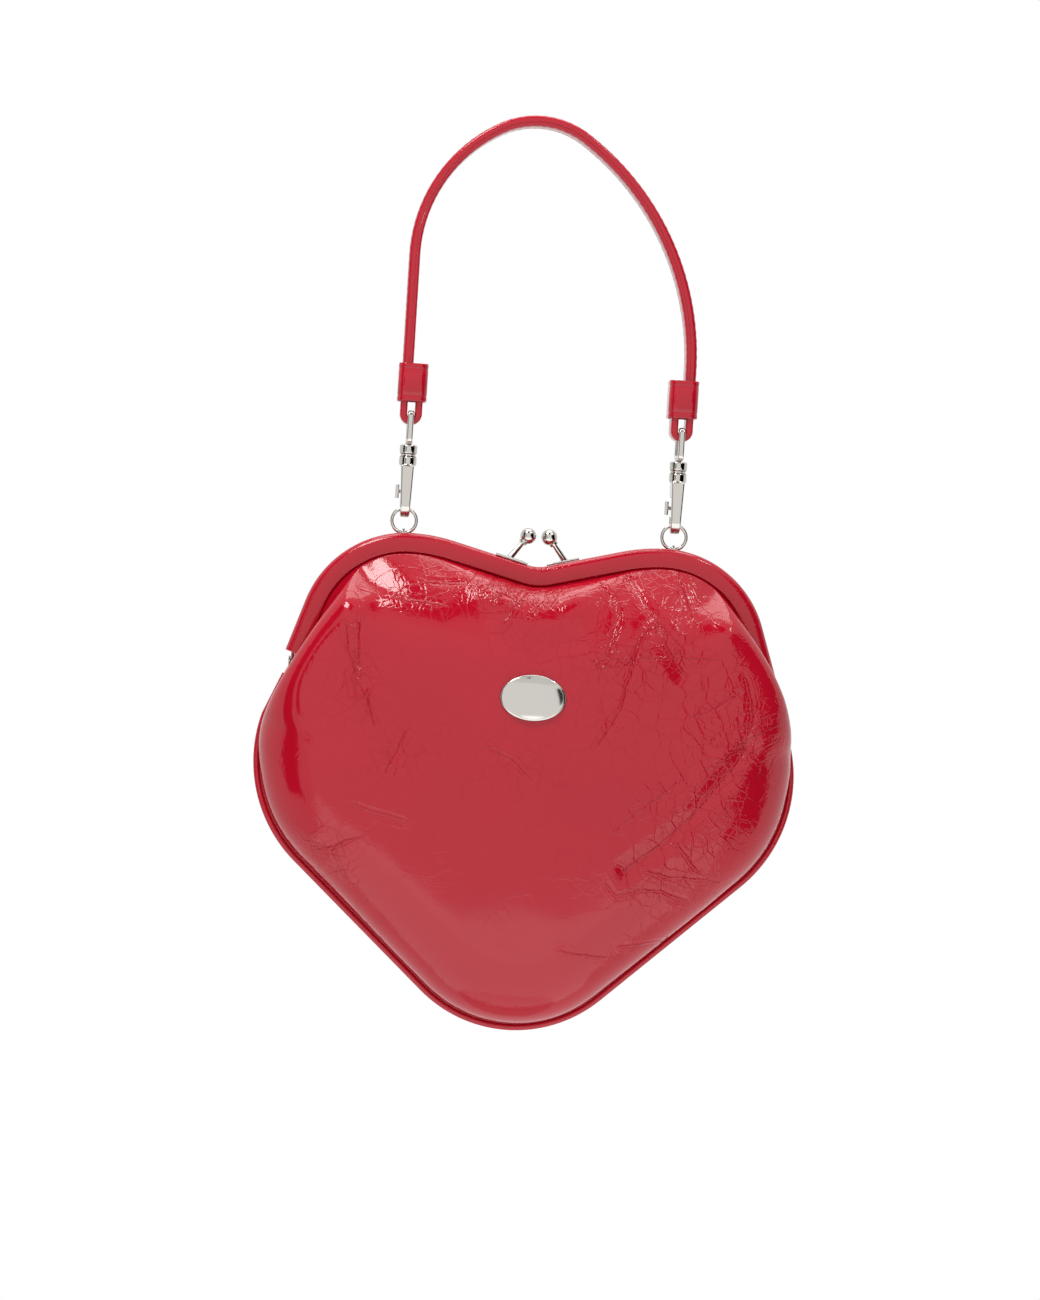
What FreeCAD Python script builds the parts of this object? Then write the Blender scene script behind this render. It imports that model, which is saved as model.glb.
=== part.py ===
import FreeCAD, Part
import math
import os

# A heart shaped purse on a kiss-lock frame, hanging from its strap by two snap hooks.
# Millimetres. X runs along the mouth, the front faces -Y and Z is up. The origin is where
# a hand or a peg carries the strap: on its underside, over the middle of the bag.

# Strap: outer leather and lining stitched together, both legs upright at their ends
STRAP_WIDTH = 11.0
STRAP_OUTER = 2.3
STRAP_LINING = 1.5
LEG_SPACING = 103.0
LEFT_BEND_RADIUS = 54.0
TOP_BEND_RADIUS = 30.0
LEFT_BEND_END = 28.0
TOP_BEND_END = -34.0
RIGHT_LEG_RUN = 3.8
FOLD_THICKNESS = 2.6

# Leather keepers that hold the folded strap ends
KEEPER_HEIGHT = 13.7
KEEPER_WALL = 1.2
KEEPER_TO_BAR = 4.6

# Swivel snap hooks: eye, barrel, hook and gate
EYE_BAR = 2.2
EYE_HEIGHT = 12.0
EYE_SIDE_PLAY = 0.6
EYE_EDGE_RADIUS = 0.6
STEM_RADIUS = 1.3
STEM_HEAD_RADIUS = 2.0
STEM_HEAD_HEIGHT = 1.6
BARREL_RADIUS = 3.2
BARREL_HEIGHT = 7.5
BARREL_CAP = 2.0
BARREL_GROOVE = 0.5
HOOK_DROP = 18.9
HOOK_TOP_WIDTH = 4.7
HOOK_TIP_WIDTH = 3.4
HOOK_SPINE = 2.6
HOOK_TIP = 2.2
HOOK_SADDLE = 1.8
HOOK_BRIDGE = 5.6
THROAT = 4.8
TIP_HEIGHT = 6.6
GATE_WIDTH = 2.4
GATE_THICKNESS = 1.7
GATE_PIN_RADIUS = 0.6
GATE_EYE_RADIUS = 1.3
GATE_PIN_DROP = 3.4
THUMB_WIDTH = 1.3
THUMB_HEIGHT = 5.0
THUMB_STAND_OFF = 0.3
GATE_SWEEP = 1.2
SWIVEL = 25.0

# Rings between the hooks and the lugs of the back frame
RING_RADIUS = 4.45
RING_WIRE = 0.65
LUG_HOLE = 0.9
LUG_RIM = 0.85
LUG_THICKNESS = 1.0
LUG_SINK = 0.2
LUG_TAIL = 2.0

# Frame arch, along its outer edge: a dip, a lobe on each side and a straight arm
DIP_RADIUS = 14.0
LOBE_X = 46.5
LOBE_RISE = 9.5
LOBE_RADIUS = 62.8
SHOULDER_RADIUS = 39.0
ARM_ANGLE = 71.5
HINGE_DROP = 40.0
ARM_END_GAP = 4.5
FRAME_BAND = 7.0
FRAME_DEPTH = 6.2
FRAME_EDGE_RADIUS = 2.2
PARTING_GAP = 0.4
COVER_LEATHER = 0.9
CHANNEL_WALL = 0.8
CHANNEL_LIP = 0.5
PACKING_RADIUS = 0.35

# Hinges at the arm ends
HINGE_TAB = 1.2
HINGE_EYE_RADIUS = 2.6
HINGE_PIN_RADIUS = 1.0
HINGE_HEAD_RADIUS = 2.2
HINGE_HEAD_HEIGHT = 0.8
HINGE_TAB_RISE = 2.4

# Kiss lock: a ball on a leaning arm over each frame
BALL_RADIUS = 2.95
BALL_X = 3.9
BALL_RISE = 11.0
BALL_Y = 1.2
ARM_FOOT_X = 10.6
ARM_FOOT_RADIUS = 1.2
ARM_NECK_RADIUS = 0.9
COLLAR_RADIUS = 1.6
COLLAR_HEIGHT = 0.9
CLASP_BASE_LENGTH = 12.0
CLASP_BASE_WIDTH = 3.6
CLASP_BASE_THICKNESS = 0.8

# Pouch outline below the hinges, along the outside of the piping
FLANK_START = 3.6
FLANK_SPLAY = 16.5
FLANK_LENGTH = 16.4
CHEEK_RADIUS = 52.0
TIP_RADIUS = 49.0
TIP_DROP = 169.7
PIPING_RADIUS = 1.2
PIPING_FLANGE = 6.0
PIPING_FLANGE_HALF = 0.3

# Domed walls of the pouch
CROWN_DROP = 82.0
CROWN_DEPTH = 30.0
CROWN_FLAT = 0.15
CROWN_FULLNESS = 2.3
RIDGE_FROM = 4.0
RIDGE_TO = 62.0
RIDGE_BOW_X = 95.0
RIDGE_BOW_DROP = 40.0
RIDGE_DEPTH = 14.0
LIP_RISE = 1.0
LIP_SET_IN = 1.6
PANEL_LEATHER = 1.1
LINING_CLOTH = 0.7
LINING_SET_IN = 1.5
FACING_SET_IN = 6.0
SEAM_SET_IN = 0.5
MOUTH_SET_IN = 1.1
RINGS = 6
ARCH_STATIONS = 13
SEAM_STATIONS = 16
ARCH_HELD = 0.9
SEAM_HELD = 0.91
FACING_CORNER = 14.0

# Plain badge on the front
BADGE_DROP = 47.0
BADGE_LENGTH = 24.0
BADGE_HEIGHT = 17.0
BADGE_EDGE = 1.2
BADGE_CROWN = 1.6
BADGE_PRONG_RADIUS = 0.6
BADGE_PRONG_SPACING = 12.0
BADGE_PRONG_LENGTH = 2.0
BADGE_LIFT = 0.6

# Clearances
FIT = 0.05
SEAT = 0.15
FREE = 0.3

Y_AXIS = FreeCAD.Vector(0, 1, 0)
SIDES = {"left": -1, "right": 1}
FACES = {"front": -1, "back": 1}


def at(x, y, z):
    return FreeCAD.Vector(x, y, z)


def sind(angle):
    return math.sin(math.radians(angle))


def cosd(angle):
    return math.cos(math.radians(angle))


def box(x0, x1, y0, y1, z0, z1):
    return Part.makeBox(x1 - x0, y1 - y0, z1 - z0, at(x0, y0, z0))


def rod(start, end, radius):
    return Part.makeCylinder(radius, (end - start).Length, start, end - start)


def fused(shapes):
    return shapes[0].multiFuse(shapes[1:]).removeSplitter()


def mirrored_x(shape):
    return shape.mirror(at(0, 0, 0), at(1, 0, 0))


def on_face(shape, face):
    return shape if FACES[face] > 0 else shape.mirror(at(0, 0, 0), Y_AXIS)


def on_side(shape, side):
    return shape if SIDES[side] > 0 else mirrored_x(shape)


# A path in the XZ plane is a start point, a heading and a list of steps. A step is a
# straight ("line", length) or a bend ("arc", radius, turn), with left turns positive.
def walk(x, z, heading, steps):
    runs = []
    for step in steps:
        runs.append((x, z, heading, step))
        if step[0] == "line":
            x += step[1] * cosd(heading)
            z += step[1] * sind(heading)
        else:
            side = math.copysign(1, step[2])
            cx = x - side * step[1] * sind(heading)
            cz = z + side * step[1] * cosd(heading)
            heading += step[2]
            x = cx + side * step[1] * sind(heading)
            z = cz - side * step[1] * cosd(heading)
    return runs, x, z, heading


def beside(x, z, heading, steps, offset):
    moved = []
    for step in steps:
        if step[0] == "arc":
            step = ("arc", step[1] - offset * math.copysign(1, step[2]), step[2])
        moved.append(step)
    return x - offset * sind(heading), z + offset * cosd(heading), heading, moved


def step_length(step):
    return step[1] if step[0] == "line" else step[1] * math.radians(abs(step[2]))


def points_along(path, count, first=0.0, last=1.0):
    runs = walk(*path)[0]
    total = sum(step_length(run[3]) for run in runs)
    points = []
    for index in range(count):
        left = total * (first + (last - first) * index / (count - 1))
        for x, z, heading, step in runs:
            if left <= step_length(step) or (x, z, heading, step) == runs[-1]:
                break
            left -= step_length(step)
        part = (left / step_length(step))
        piece = ("line", left) if step[0] == "line" else ("arc", step[1], step[2] * part)
        points.append(walk(x, z, heading, [piece])[1:3])
    return points


def swept(path, section):
    """Carry a section drawn in (outward, Y) along a path of straights and bends."""
    solids = []
    for x, z, heading, step in walk(*path)[0]:
        across = at(-sind(heading), 0, cosd(heading))
        ahead = at(cosd(heading), 0, sind(heading))
        start = at(x, 0, z)
        face = section.copy()
        face.Placement = FreeCAD.Placement(FreeCAD.Matrix(
            across.x, 0, -ahead.x, start.x,
            across.y, 1, -ahead.y, start.y,
            across.z, 0, -ahead.z, start.z))
        if step[0] == "line":
            solids.append(face.extrude(ahead * step[1]))
        else:
            side = math.copysign(1, step[2])
            solids.append(face.revolve(start + across * side * step[1], Y_AXIS * -side, abs(step[2])))
    return fused(solids)


def polygon(points):
    return Part.Face(Part.makePolygon([at(n, y, 0) for n, y in points + points[:1]]))


# Strap centre line: left leg up, over the top and down the right leg
STRAP_THICKNESS = STRAP_OUTER + STRAP_LINING
leg_x = LEG_SPACING / 2
left_bend_dx = LEFT_BEND_RADIUS * (1 - sind(LEFT_BEND_END))
top_bend_dx = TOP_BEND_RADIUS * (sind(LEFT_BEND_END) - sind(TOP_BEND_END))
right_bend_radius = (LEG_SPACING - left_bend_dx - top_bend_dx) / (1 + sind(TOP_BEND_END))
top_centre_x = -leg_x + left_bend_dx + TOP_BEND_RADIUS * sind(LEFT_BEND_END)
top_centre_z = -math.sqrt((TOP_BEND_RADIUS - STRAP_THICKNESS / 2) ** 2 - top_centre_x ** 2)
left_bend_z = top_centre_z + (TOP_BEND_RADIUS - LEFT_BEND_RADIUS) * cosd(LEFT_BEND_END)
right_bend_z = top_centre_z + (TOP_BEND_RADIUS - right_bend_radius) * cosd(TOP_BEND_END)

# Heights of the hardware, from the strap down to the frame
keeper_top = right_bend_z - RIGHT_LEG_RUN
keeper_mid = keeper_top - KEEPER_HEIGHT / 2
bar_z = keeper_top - KEEPER_HEIGHT - KEEPER_TO_BAR
eye_bottom = bar_z + EYE_BAR / 2 - EYE_HEIGHT
barrel_top = eye_bottom - FREE
barrel_bottom = barrel_top - BARREL_HEIGHT
hook_bottom = barrel_bottom - HOOK_DROP
saddle_z = hook_bottom + HOOK_SADDLE
saddle_half = (HOOK_TIP_WIDTH + (HOOK_TOP_WIDTH - HOOK_TIP_WIDTH) * HOOK_SADDLE / HOOK_DROP) / 2
ring_inner = RING_RADIUS - RING_WIRE
ring_z = saddle_z + FREE - math.sqrt(ring_inner ** 2 - (saddle_half / cosd(SWIVEL)) ** 2)
lug_z = ring_z - RING_RADIUS - (LUG_HOLE - RING_WIRE - FIT)

# Across the strap end, the fold is centred on the eye
fold_inner = EYE_BAR / 2 + FREE
fold_outer = fold_inner + FOLD_THICKNESS
hook_x = leg_x + STRAP_THICKNESS / 2 - fold_outer

# Frame arch: both bends at the dip touch one straight
bends = DIP_RADIUS + LOBE_RADIUS
crest_run = math.sqrt(LOBE_X ** 2 + (bends - LOBE_RISE) ** 2 - bends ** 2)
crest_angle = math.degrees(math.atan2(LOBE_X, bends - LOBE_RISE) - math.atan2(crest_run, bends))
lobe_bend = SHOULDER_RADIUS if hook_x > LOBE_X else LOBE_RADIUS
ring_station = LOBE_RISE - lobe_bend + math.sqrt(lobe_bend ** 2 - (hook_x - LOBE_X) ** 2)
dip_z = lug_z + LUG_SINK - ring_station
hinge_z = dip_z - HINGE_DROP
arm_top_z = dip_z + LOBE_RISE - SHOULDER_RADIUS * (1 - cosd(ARM_ANGLE))
arm_run = (arm_top_z - hinge_z - ARM_END_GAP) / sind(ARM_ANGLE)
ARCH_STEPS = [("arc", DIP_RADIUS, crest_angle), ("line", crest_run), ("arc", LOBE_RADIUS, -crest_angle),
              ("arc", SHOULDER_RADIUS, -ARM_ANGLE), ("line", arm_run)]
ARCH = (0, dip_z, 0, ARCH_STEPS)
arm_end_x = walk(*ARCH)[1]
hinge_x = arm_end_x - FRAME_BAND / 2

# Pouch outline from the right hinge to the tip
flank_heading = FLANK_SPLAY - 90
flank_x = arm_end_x + ARM_END_GAP / math.tan(math.radians(ARM_ANGLE)) + FLANK_START * sind(FLANK_SPLAY)
flank_z = hinge_z - FLANK_START * cosd(FLANK_SPLAY)
turned = walk(flank_x, flank_z, flank_heading, [("line", FLANK_LENGTH)])
cheek_x = turned[1] - CHEEK_RADIUS * cosd(FLANK_SPLAY)
cheek_z = turned[2] - CHEEK_RADIUS * sind(FLANK_SPLAY)
tip_centre_z = dip_z - TIP_DROP + TIP_RADIUS
between = math.hypot(cheek_x, cheek_z - tip_centre_z)
lean = math.degrees(math.asin((CHEEK_RADIUS - TIP_RADIUS) / between))
seam_heading = math.degrees(math.atan2(tip_centre_z - cheek_z, -cheek_x)) - lean
SEAM_STEPS = [("line", FLANK_LENGTH), ("arc", CHEEK_RADIUS, seam_heading - flank_heading),
              ("line", between * cosd(lean)), ("arc", TIP_RADIUS, -180 - seam_heading)]
SEAM = (flank_x, flank_z, flank_heading, SEAM_STEPS)


def strap_band(inner, outer, z_end):
    """The strap between two distances from its centre line, its legs ending at one height."""
    steps = [("line", left_bend_z - z_end), ("arc", LEFT_BEND_RADIUS, LEFT_BEND_END - 90),
             ("arc", TOP_BEND_RADIUS, TOP_BEND_END - LEFT_BEND_END),
             ("arc", right_bend_radius, -90 - TOP_BEND_END), ("line", right_bend_z - z_end)]
    half = STRAP_WIDTH / 2
    section = polygon([(inner, -half), (outer, -half), (outer, half), (inner, half)])
    return swept((-leg_x, z_end, 90, steps), section)


def strap_fold():
    """The skived strap end that runs round the eye and up into the keeper."""
    half = STRAP_WIDTH / 2
    turn = (fold_inner + fold_outer) / 2
    steps = [("line", keeper_top - bar_z), ("arc", turn, -180), ("line", keeper_top - bar_z)]
    section = polygon([(-FOLD_THICKNESS / 2, -half), (FOLD_THICKNESS / 2, -half),
                       (FOLD_THICKNESS / 2, half), (-FOLD_THICKNESS / 2, half)])
    return swept((hook_x + turn, keeper_top, -90, steps), section)


def make_handle_strap():
    inner = STRAP_THICKNESS / 2 - STRAP_OUTER
    strap = strap_band(inner, STRAP_THICKNESS / 2, keeper_mid)
    fold = strap_fold()
    return fused([strap, fold, mirrored_x(fold)])


def make_handle_lining():
    inner = -STRAP_THICKNESS / 2
    return strap_band(inner, inner + STRAP_LINING - FIT, keeper_top + SEAT)


def make_keeper(side):
    half_x = fold_outer + SEAT
    half_y = STRAP_WIDTH / 2 + SEAT
    z0 = keeper_top - KEEPER_HEIGHT
    outer = box(hook_x - half_x - KEEPER_WALL, hook_x + half_x + KEEPER_WALL,
                -half_y - KEEPER_WALL, half_y + KEEPER_WALL, z0, keeper_top)
    upright = [edge for edge in outer.Edges if abs(edge.tangentAt(edge.FirstParameter).z) > 0.9]
    outer = outer.makeFillet(KEEPER_WALL, upright)
    hole = box(hook_x - half_x, hook_x + half_x, -half_y, half_y, z0 - 1, keeper_top + 1)
    return on_side(outer.cut(hole), side)


def make_swivel_eye(side):
    """A flat loop for the strap over a stem whose head turns in the barrel."""
    half_y = STRAP_WIDTH / 2 + EYE_SIDE_PLAY + EYE_BAR
    half_x = EYE_BAR / 2
    loop = box(hook_x - half_x, hook_x + half_x, -half_y, half_y, eye_bottom, eye_bottom + EYE_HEIGHT)
    corners = [edge for edge in loop.Edges if abs(edge.tangentAt(edge.FirstParameter).x) > 0.9]
    loop = loop.makeFillet(EYE_BAR, corners)
    window = box(hook_x - half_x - 1, hook_x + half_x + 1, EYE_BAR - half_y, half_y - EYE_BAR,
                 eye_bottom + EYE_BAR, eye_bottom + EYE_HEIGHT - EYE_BAR)
    loop = loop.cut(window)
    loop = loop.makeFillet(EYE_EDGE_RADIUS, [edge for edge in loop.Edges
                                             if abs(edge.tangentAt(edge.FirstParameter).x) < 0.1])
    stem_end = barrel_top - BARREL_CAP - SEAT - STEM_HEAD_HEIGHT
    stem = rod(at(hook_x, 0, stem_end), at(hook_x, 0, eye_bottom + EYE_BAR / 2), STEM_RADIUS)
    head = rod(at(hook_x, 0, stem_end), at(hook_x, 0, stem_end + STEM_HEAD_HEIGHT), STEM_HEAD_RADIUS)
    return on_side(fused([loop, stem, head]), side)


def hook_width_at(z):
    share = (z - hook_bottom) / (barrel_bottom - hook_bottom)
    return HOOK_TIP_WIDTH + (HOOK_TOP_WIDTH - HOOK_TIP_WIDTH) * share


throat_half = THROAT / 2
throat_z = saddle_z + throat_half
hook_front = -throat_half - HOOK_SPINE
hook_back = throat_half + HOOK_TIP
bridge_bottom = barrel_bottom - HOOK_BRIDGE
tip_top = hook_bottom + TIP_HEIGHT
gate_pin_y = throat_half + HOOK_TIP / 2
gate_pin_z = barrel_bottom - GATE_PIN_DROP


def gate_room(extra):
    """The slot in the bridge where the gate's eye turns."""
    half = GATE_WIDTH / 2 + extra
    slot = box(-half, half, gate_pin_y - GATE_EYE_RADIUS - GATE_SWEEP, hook_back + 1,
               bridge_bottom - 1, gate_pin_z + GATE_EYE_RADIUS + extra)
    return slot.translated(at(hook_x, 0, 0))


def make_hook():
    """Barrel and hook in one casting, with the hook's back to the front of the bag."""
    barrel = rod(at(hook_x, 0, barrel_bottom), at(hook_x, 0, barrel_top), BARREL_RADIUS)
    groove_z = barrel_bottom + BARREL_HEIGHT / 2
    groove = rod(at(hook_x, 0, groove_z - BARREL_GROOVE), at(hook_x, 0, groove_z + BARREL_GROOVE),
                 BARREL_RADIUS + 1)
    groove = groove.cut(rod(at(hook_x, 0, groove_z - 1), at(hook_x, 0, groove_z + 1),
                            BARREL_RADIUS - BARREL_GROOVE))
    bore = rod(at(hook_x, 0, barrel_top - BARREL_CAP - 1), at(hook_x, 0, barrel_top + 1),
               STEM_RADIUS + SEAT)
    room_z = barrel_top - BARREL_CAP
    room = rod(at(hook_x, 0, room_z - STEM_HEAD_HEIGHT - 2 * SEAT), at(hook_x, 0, room_z),
               STEM_HEAD_RADIUS + SEAT)
    bend_radius = (hook_back - hook_front) / 2
    bend_y = (hook_back + hook_front) / 2
    bend_z = hook_bottom + bend_radius
    half = HOOK_TOP_WIDTH
    plate = box(hook_x - half, hook_x + half, hook_front, hook_back, bend_z, barrel_bottom)
    bend = rod(at(hook_x - half, bend_y, bend_z), at(hook_x + half, bend_y, bend_z), bend_radius)
    throat = fused([
        rod(at(hook_x - half - 1, 0, throat_z), at(hook_x + half + 1, 0, throat_z), throat_half),
        box(hook_x - half - 1, hook_x + half + 1, -throat_half, throat_half, throat_z, bridge_bottom)])
    window = box(hook_x - half - 1, hook_x + half + 1, 0, hook_back + 1, tip_top, bridge_bottom)
    taper = Part.Face(Part.makePolygon([
        at(hook_x + sx * hook_width_at(z) / 2, hook_front - 1, z) for sx, z in
        [(-1, hook_bottom - 1), (1, hook_bottom - 1), (1, barrel_bottom + 1), (-1, barrel_bottom + 1),
         (-1, hook_bottom - 1)]])).extrude(Y_AXIS * (hook_back - hook_front + 2))
    hook = plate.fuse(bend).cut(throat).cut(window).common(taper)
    hook = hook.cut(gate_room(FREE)).cut(gate_pin(FIT))
    return fused([barrel.cut(groove).cut(bore).cut(room), hook])


def gate_pin(extra=0.0):
    half = hook_width_at(gate_pin_z) / 2 - SEAT + extra
    return rod(at(hook_x - half, gate_pin_y, gate_pin_z), at(hook_x + half, gate_pin_y, gate_pin_z),
               GATE_PIN_RADIUS + extra)


def make_gate(thumb_side):
    """The sprung gate, with a thumb piece that stands out beside the hook."""
    half = GATE_WIDTH / 2
    y0 = gate_pin_y - GATE_THICKNESS / 2
    y1 = gate_pin_y + GATE_THICKNESS / 2
    foot = tip_top + FREE
    eye = rod(at(hook_x - half, gate_pin_y, gate_pin_z), at(hook_x + half, gate_pin_y, gate_pin_z),
              GATE_EYE_RADIUS)
    bar = box(hook_x - half, hook_x + half, y0, y1, foot, gate_pin_z)
    reach = hook_width_at(bridge_bottom) / 2 + THUMB_STAND_OFF
    neck_z = foot + THUMB_HEIGHT / 2
    neck = box(0, reach, y0, y1, neck_z - THUMB_WIDTH / 2, neck_z + THUMB_WIDTH / 2)
    thumb = box(reach, reach + THUMB_WIDTH, y0, y1, neck_z - THUMB_HEIGHT / 2, neck_z + THUMB_HEIGHT / 2)
    lever = neck.fuse(thumb)
    lever = lever if thumb_side > 0 else mirrored_x(lever)
    gate = fused([eye, bar, lever.translated(at(hook_x, 0, 0))])
    hole = rod(at(hook_x - half - 1, gate_pin_y, gate_pin_z), at(hook_x + half + 1, gate_pin_y, gate_pin_z),
               GATE_PIN_RADIUS + FIT)
    return gate.cut(hole)


def make_ring(side):
    return on_side(Part.makeTorus(RING_RADIUS, RING_WIRE, at(hook_x, 0, ring_z), Y_AXIS), side)


# Across the frame, from the parting plane: cover, channel wall, slot
half_gap = PARTING_GAP / 2
slot_near = half_gap + COVER_LEATHER + FIT + CHANNEL_WALL
slot_far = half_gap + FRAME_DEPTH - COVER_LEATHER - FIT - CHANNEL_WALL
slot_mid = (slot_near + slot_far) / 2
frame_mid = half_gap + FRAME_DEPTH / 2


def lug_shape(extra):
    """A pierced plate over the parting, with a tail down into the back frame."""
    half = LUG_THICKNESS / 2 + extra
    rim = LUG_HOLE + LUG_RIM + extra
    disc = rod(at(hook_x - half, 0, lug_z), at(hook_x + half, 0, lug_z), rim)
    bridge = box(hook_x - half, hook_x + half, 0, frame_mid + LUG_RIM + extra,
                 lug_z - rim, lug_z - LUG_HOLE + extra)
    tail = box(hook_x - half, hook_x + half, frame_mid - LUG_RIM - extra, frame_mid + LUG_RIM + extra,
               lug_z - LUG_TAIL - extra, lug_z - LUG_HOLE + extra)
    return fused([disc, bridge, tail])


def make_lug(side):
    hole = rod(at(hook_x - LUG_THICKNESS, 0, lug_z), at(hook_x + LUG_THICKNESS, 0, lug_z), LUG_HOLE)
    return on_side(lug_shape(0).cut(hole), side)


def cover_section():
    y0 = half_gap
    y1 = half_gap + FRAME_DEPTH
    t = COVER_LEATHER
    r = FRAME_EDGE_RADIUS
    c = r * (1 - cosd(45))
    b = -FRAME_BAND
    line = [Part.makeLine(at(b, y0, 0), at(-r, y0, 0)),
            Part.Arc(at(-r, y0, 0), at(-c, y0 + c, 0), at(0, y0 + r, 0)).toShape(),
            Part.makeLine(at(0, y0 + r, 0), at(0, y1 - r, 0)),
            Part.Arc(at(0, y1 - r, 0), at(-c, y1 - c, 0), at(-r, y1, 0)).toShape(),
            Part.makeLine(at(-r, y1, 0), at(b, y1, 0))]
    inside = [at(b, y1, 0), at(b, y1 - t, 0), at(-t, y1 - t, 0), at(-t, y0 + t, 0),
              at(b, y0 + t, 0), at(b, y0, 0)]
    line += [Part.makeLine(p, q) for p, q in zip(inside, inside[1:])]
    return Part.Face(Part.Wire(line))


def channel_section():
    y0 = half_gap + COVER_LEATHER + FIT
    y1 = half_gap + FRAME_DEPTH - COVER_LEATHER - FIT
    top = -COVER_LEATHER - FIT
    lip = -FRAME_BAND + CHANNEL_LIP
    w = CHANNEL_WALL
    return polygon([(lip, y0), (top, y0), (top, y1), (lip, y1), (lip, y1 - w), (top - w, y1 - w),
                    (top - w, y0 + w), (lip, y0 + w)])


def both_halves(section):
    half = swept(ARCH, section)
    return fused([half, mirrored_x(half)])


def make_cover(face):
    cover = on_face(both_halves(cover_section()), face)
    room = lug_shape(SEAT)
    return cover.cut(room).cut(mirrored_x(room))


# The front frame's hinge tabs lie outside those of the back frame
TAB_X = {"front": hinge_x + SEAT / 2, "back": hinge_x - SEAT / 2 - HINGE_TAB}


def hinge_tab(face):
    x0 = TAB_X[face]
    x1 = x0 + HINGE_TAB
    y0 = slot_near - CHANNEL_WALL / 2
    y1 = slot_far + CHANNEL_WALL / 2
    rise = hinge_z + ARM_END_GAP + HINGE_TAB_RISE
    eye = rod(at(x0, 0, hinge_z), at(x1, 0, hinge_z), HINGE_EYE_RADIUS)
    neck = Part.Face(Part.makePolygon([
        at(x0, y, z) for y, z in [(0, hinge_z - HINGE_EYE_RADIUS), (y1, hinge_z + ARM_END_GAP - 1),
                                  (y1, rise), (y0, rise), (y0, hinge_z + HINGE_EYE_RADIUS),
                                  (0, hinge_z + HINGE_EYE_RADIUS), (0, hinge_z - HINGE_EYE_RADIUS)]]))
    tab = fused([eye, neck.extrude(at(HINGE_TAB, 0, 0))])
    return tab.cut(rod(at(x0 - 1, 0, hinge_z), at(x1 + 1, 0, hinge_z), HINGE_PIN_RADIUS + FIT))


def make_frame(face):
    channel = both_halves(channel_section())
    tab = hinge_tab(face)
    frame = on_face(fused([channel, tab, mirrored_x(tab)]), face)
    room = lug_shape(SEAT)
    return frame.cut(room).cut(mirrored_x(room))


def make_hinge_pin(side):
    x0 = TAB_X["back"] - SEAT
    x1 = TAB_X["front"] + HINGE_TAB + SEAT
    pin = rod(at(x0, 0, hinge_z), at(x1, 0, hinge_z), HINGE_PIN_RADIUS)
    inner = rod(at(x0 - HINGE_HEAD_HEIGHT, 0, hinge_z), at(x0, 0, hinge_z), HINGE_HEAD_RADIUS)
    outer = rod(at(x1, 0, hinge_z), at(x1 + HINGE_HEAD_HEIGHT, 0, hinge_z), HINGE_HEAD_RADIUS)
    return on_side(fused([pin, inner, outer]), side)


def make_packing(face):
    """The paper cord that wedges leather and lining in the channel."""
    short = list(ARCH_STEPS)
    stop = HINGE_TAB_RISE + FRAME_BAND * cosd(ARM_ANGLE)
    short[-1] = ("line", arm_run - stop / sind(ARM_ANGLE) - FREE)
    path = beside(0, dip_z, 0, short, -LUG_TAIL - LUG_SINK - SEAT - PACKING_RADIUS)
    wire = Part.Wire(Part.Circle(at(0, slot_mid, 0), at(0, 0, 1), PACKING_RADIUS).toShape())
    half = swept(path, Part.Face(wire))
    return on_face(fused([half, mirrored_x(half)]), face)


# Each clasp stands on the straight of its frame, the front one to the left
CLASP_SIDE = {"front": "left", "back": "right"}
crest_x = DIP_RADIUS * sind(crest_angle)
crest_z = dip_z + DIP_RADIUS * (1 - cosd(crest_angle))


def clasp_base():
    along = at(cosd(crest_angle), 0, sind(crest_angle))
    up = at(-sind(crest_angle), 0, cosd(crest_angle))
    start = at(crest_x, frame_mid - CLASP_BASE_WIDTH / 2, crest_z) + along * FREE + up * FIT
    corners = [start, start + along * CLASP_BASE_LENGTH]
    corners += [corners[1] + up * CLASP_BASE_THICKNESS, corners[0] + up * CLASP_BASE_THICKNESS]
    return Part.Face(Part.makePolygon(corners + corners[:1])).extrude(Y_AXIS * CLASP_BASE_WIDTH)


def make_clasp_base(face):
    return on_side(on_face(clasp_base(), face), CLASP_SIDE[face])


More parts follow.
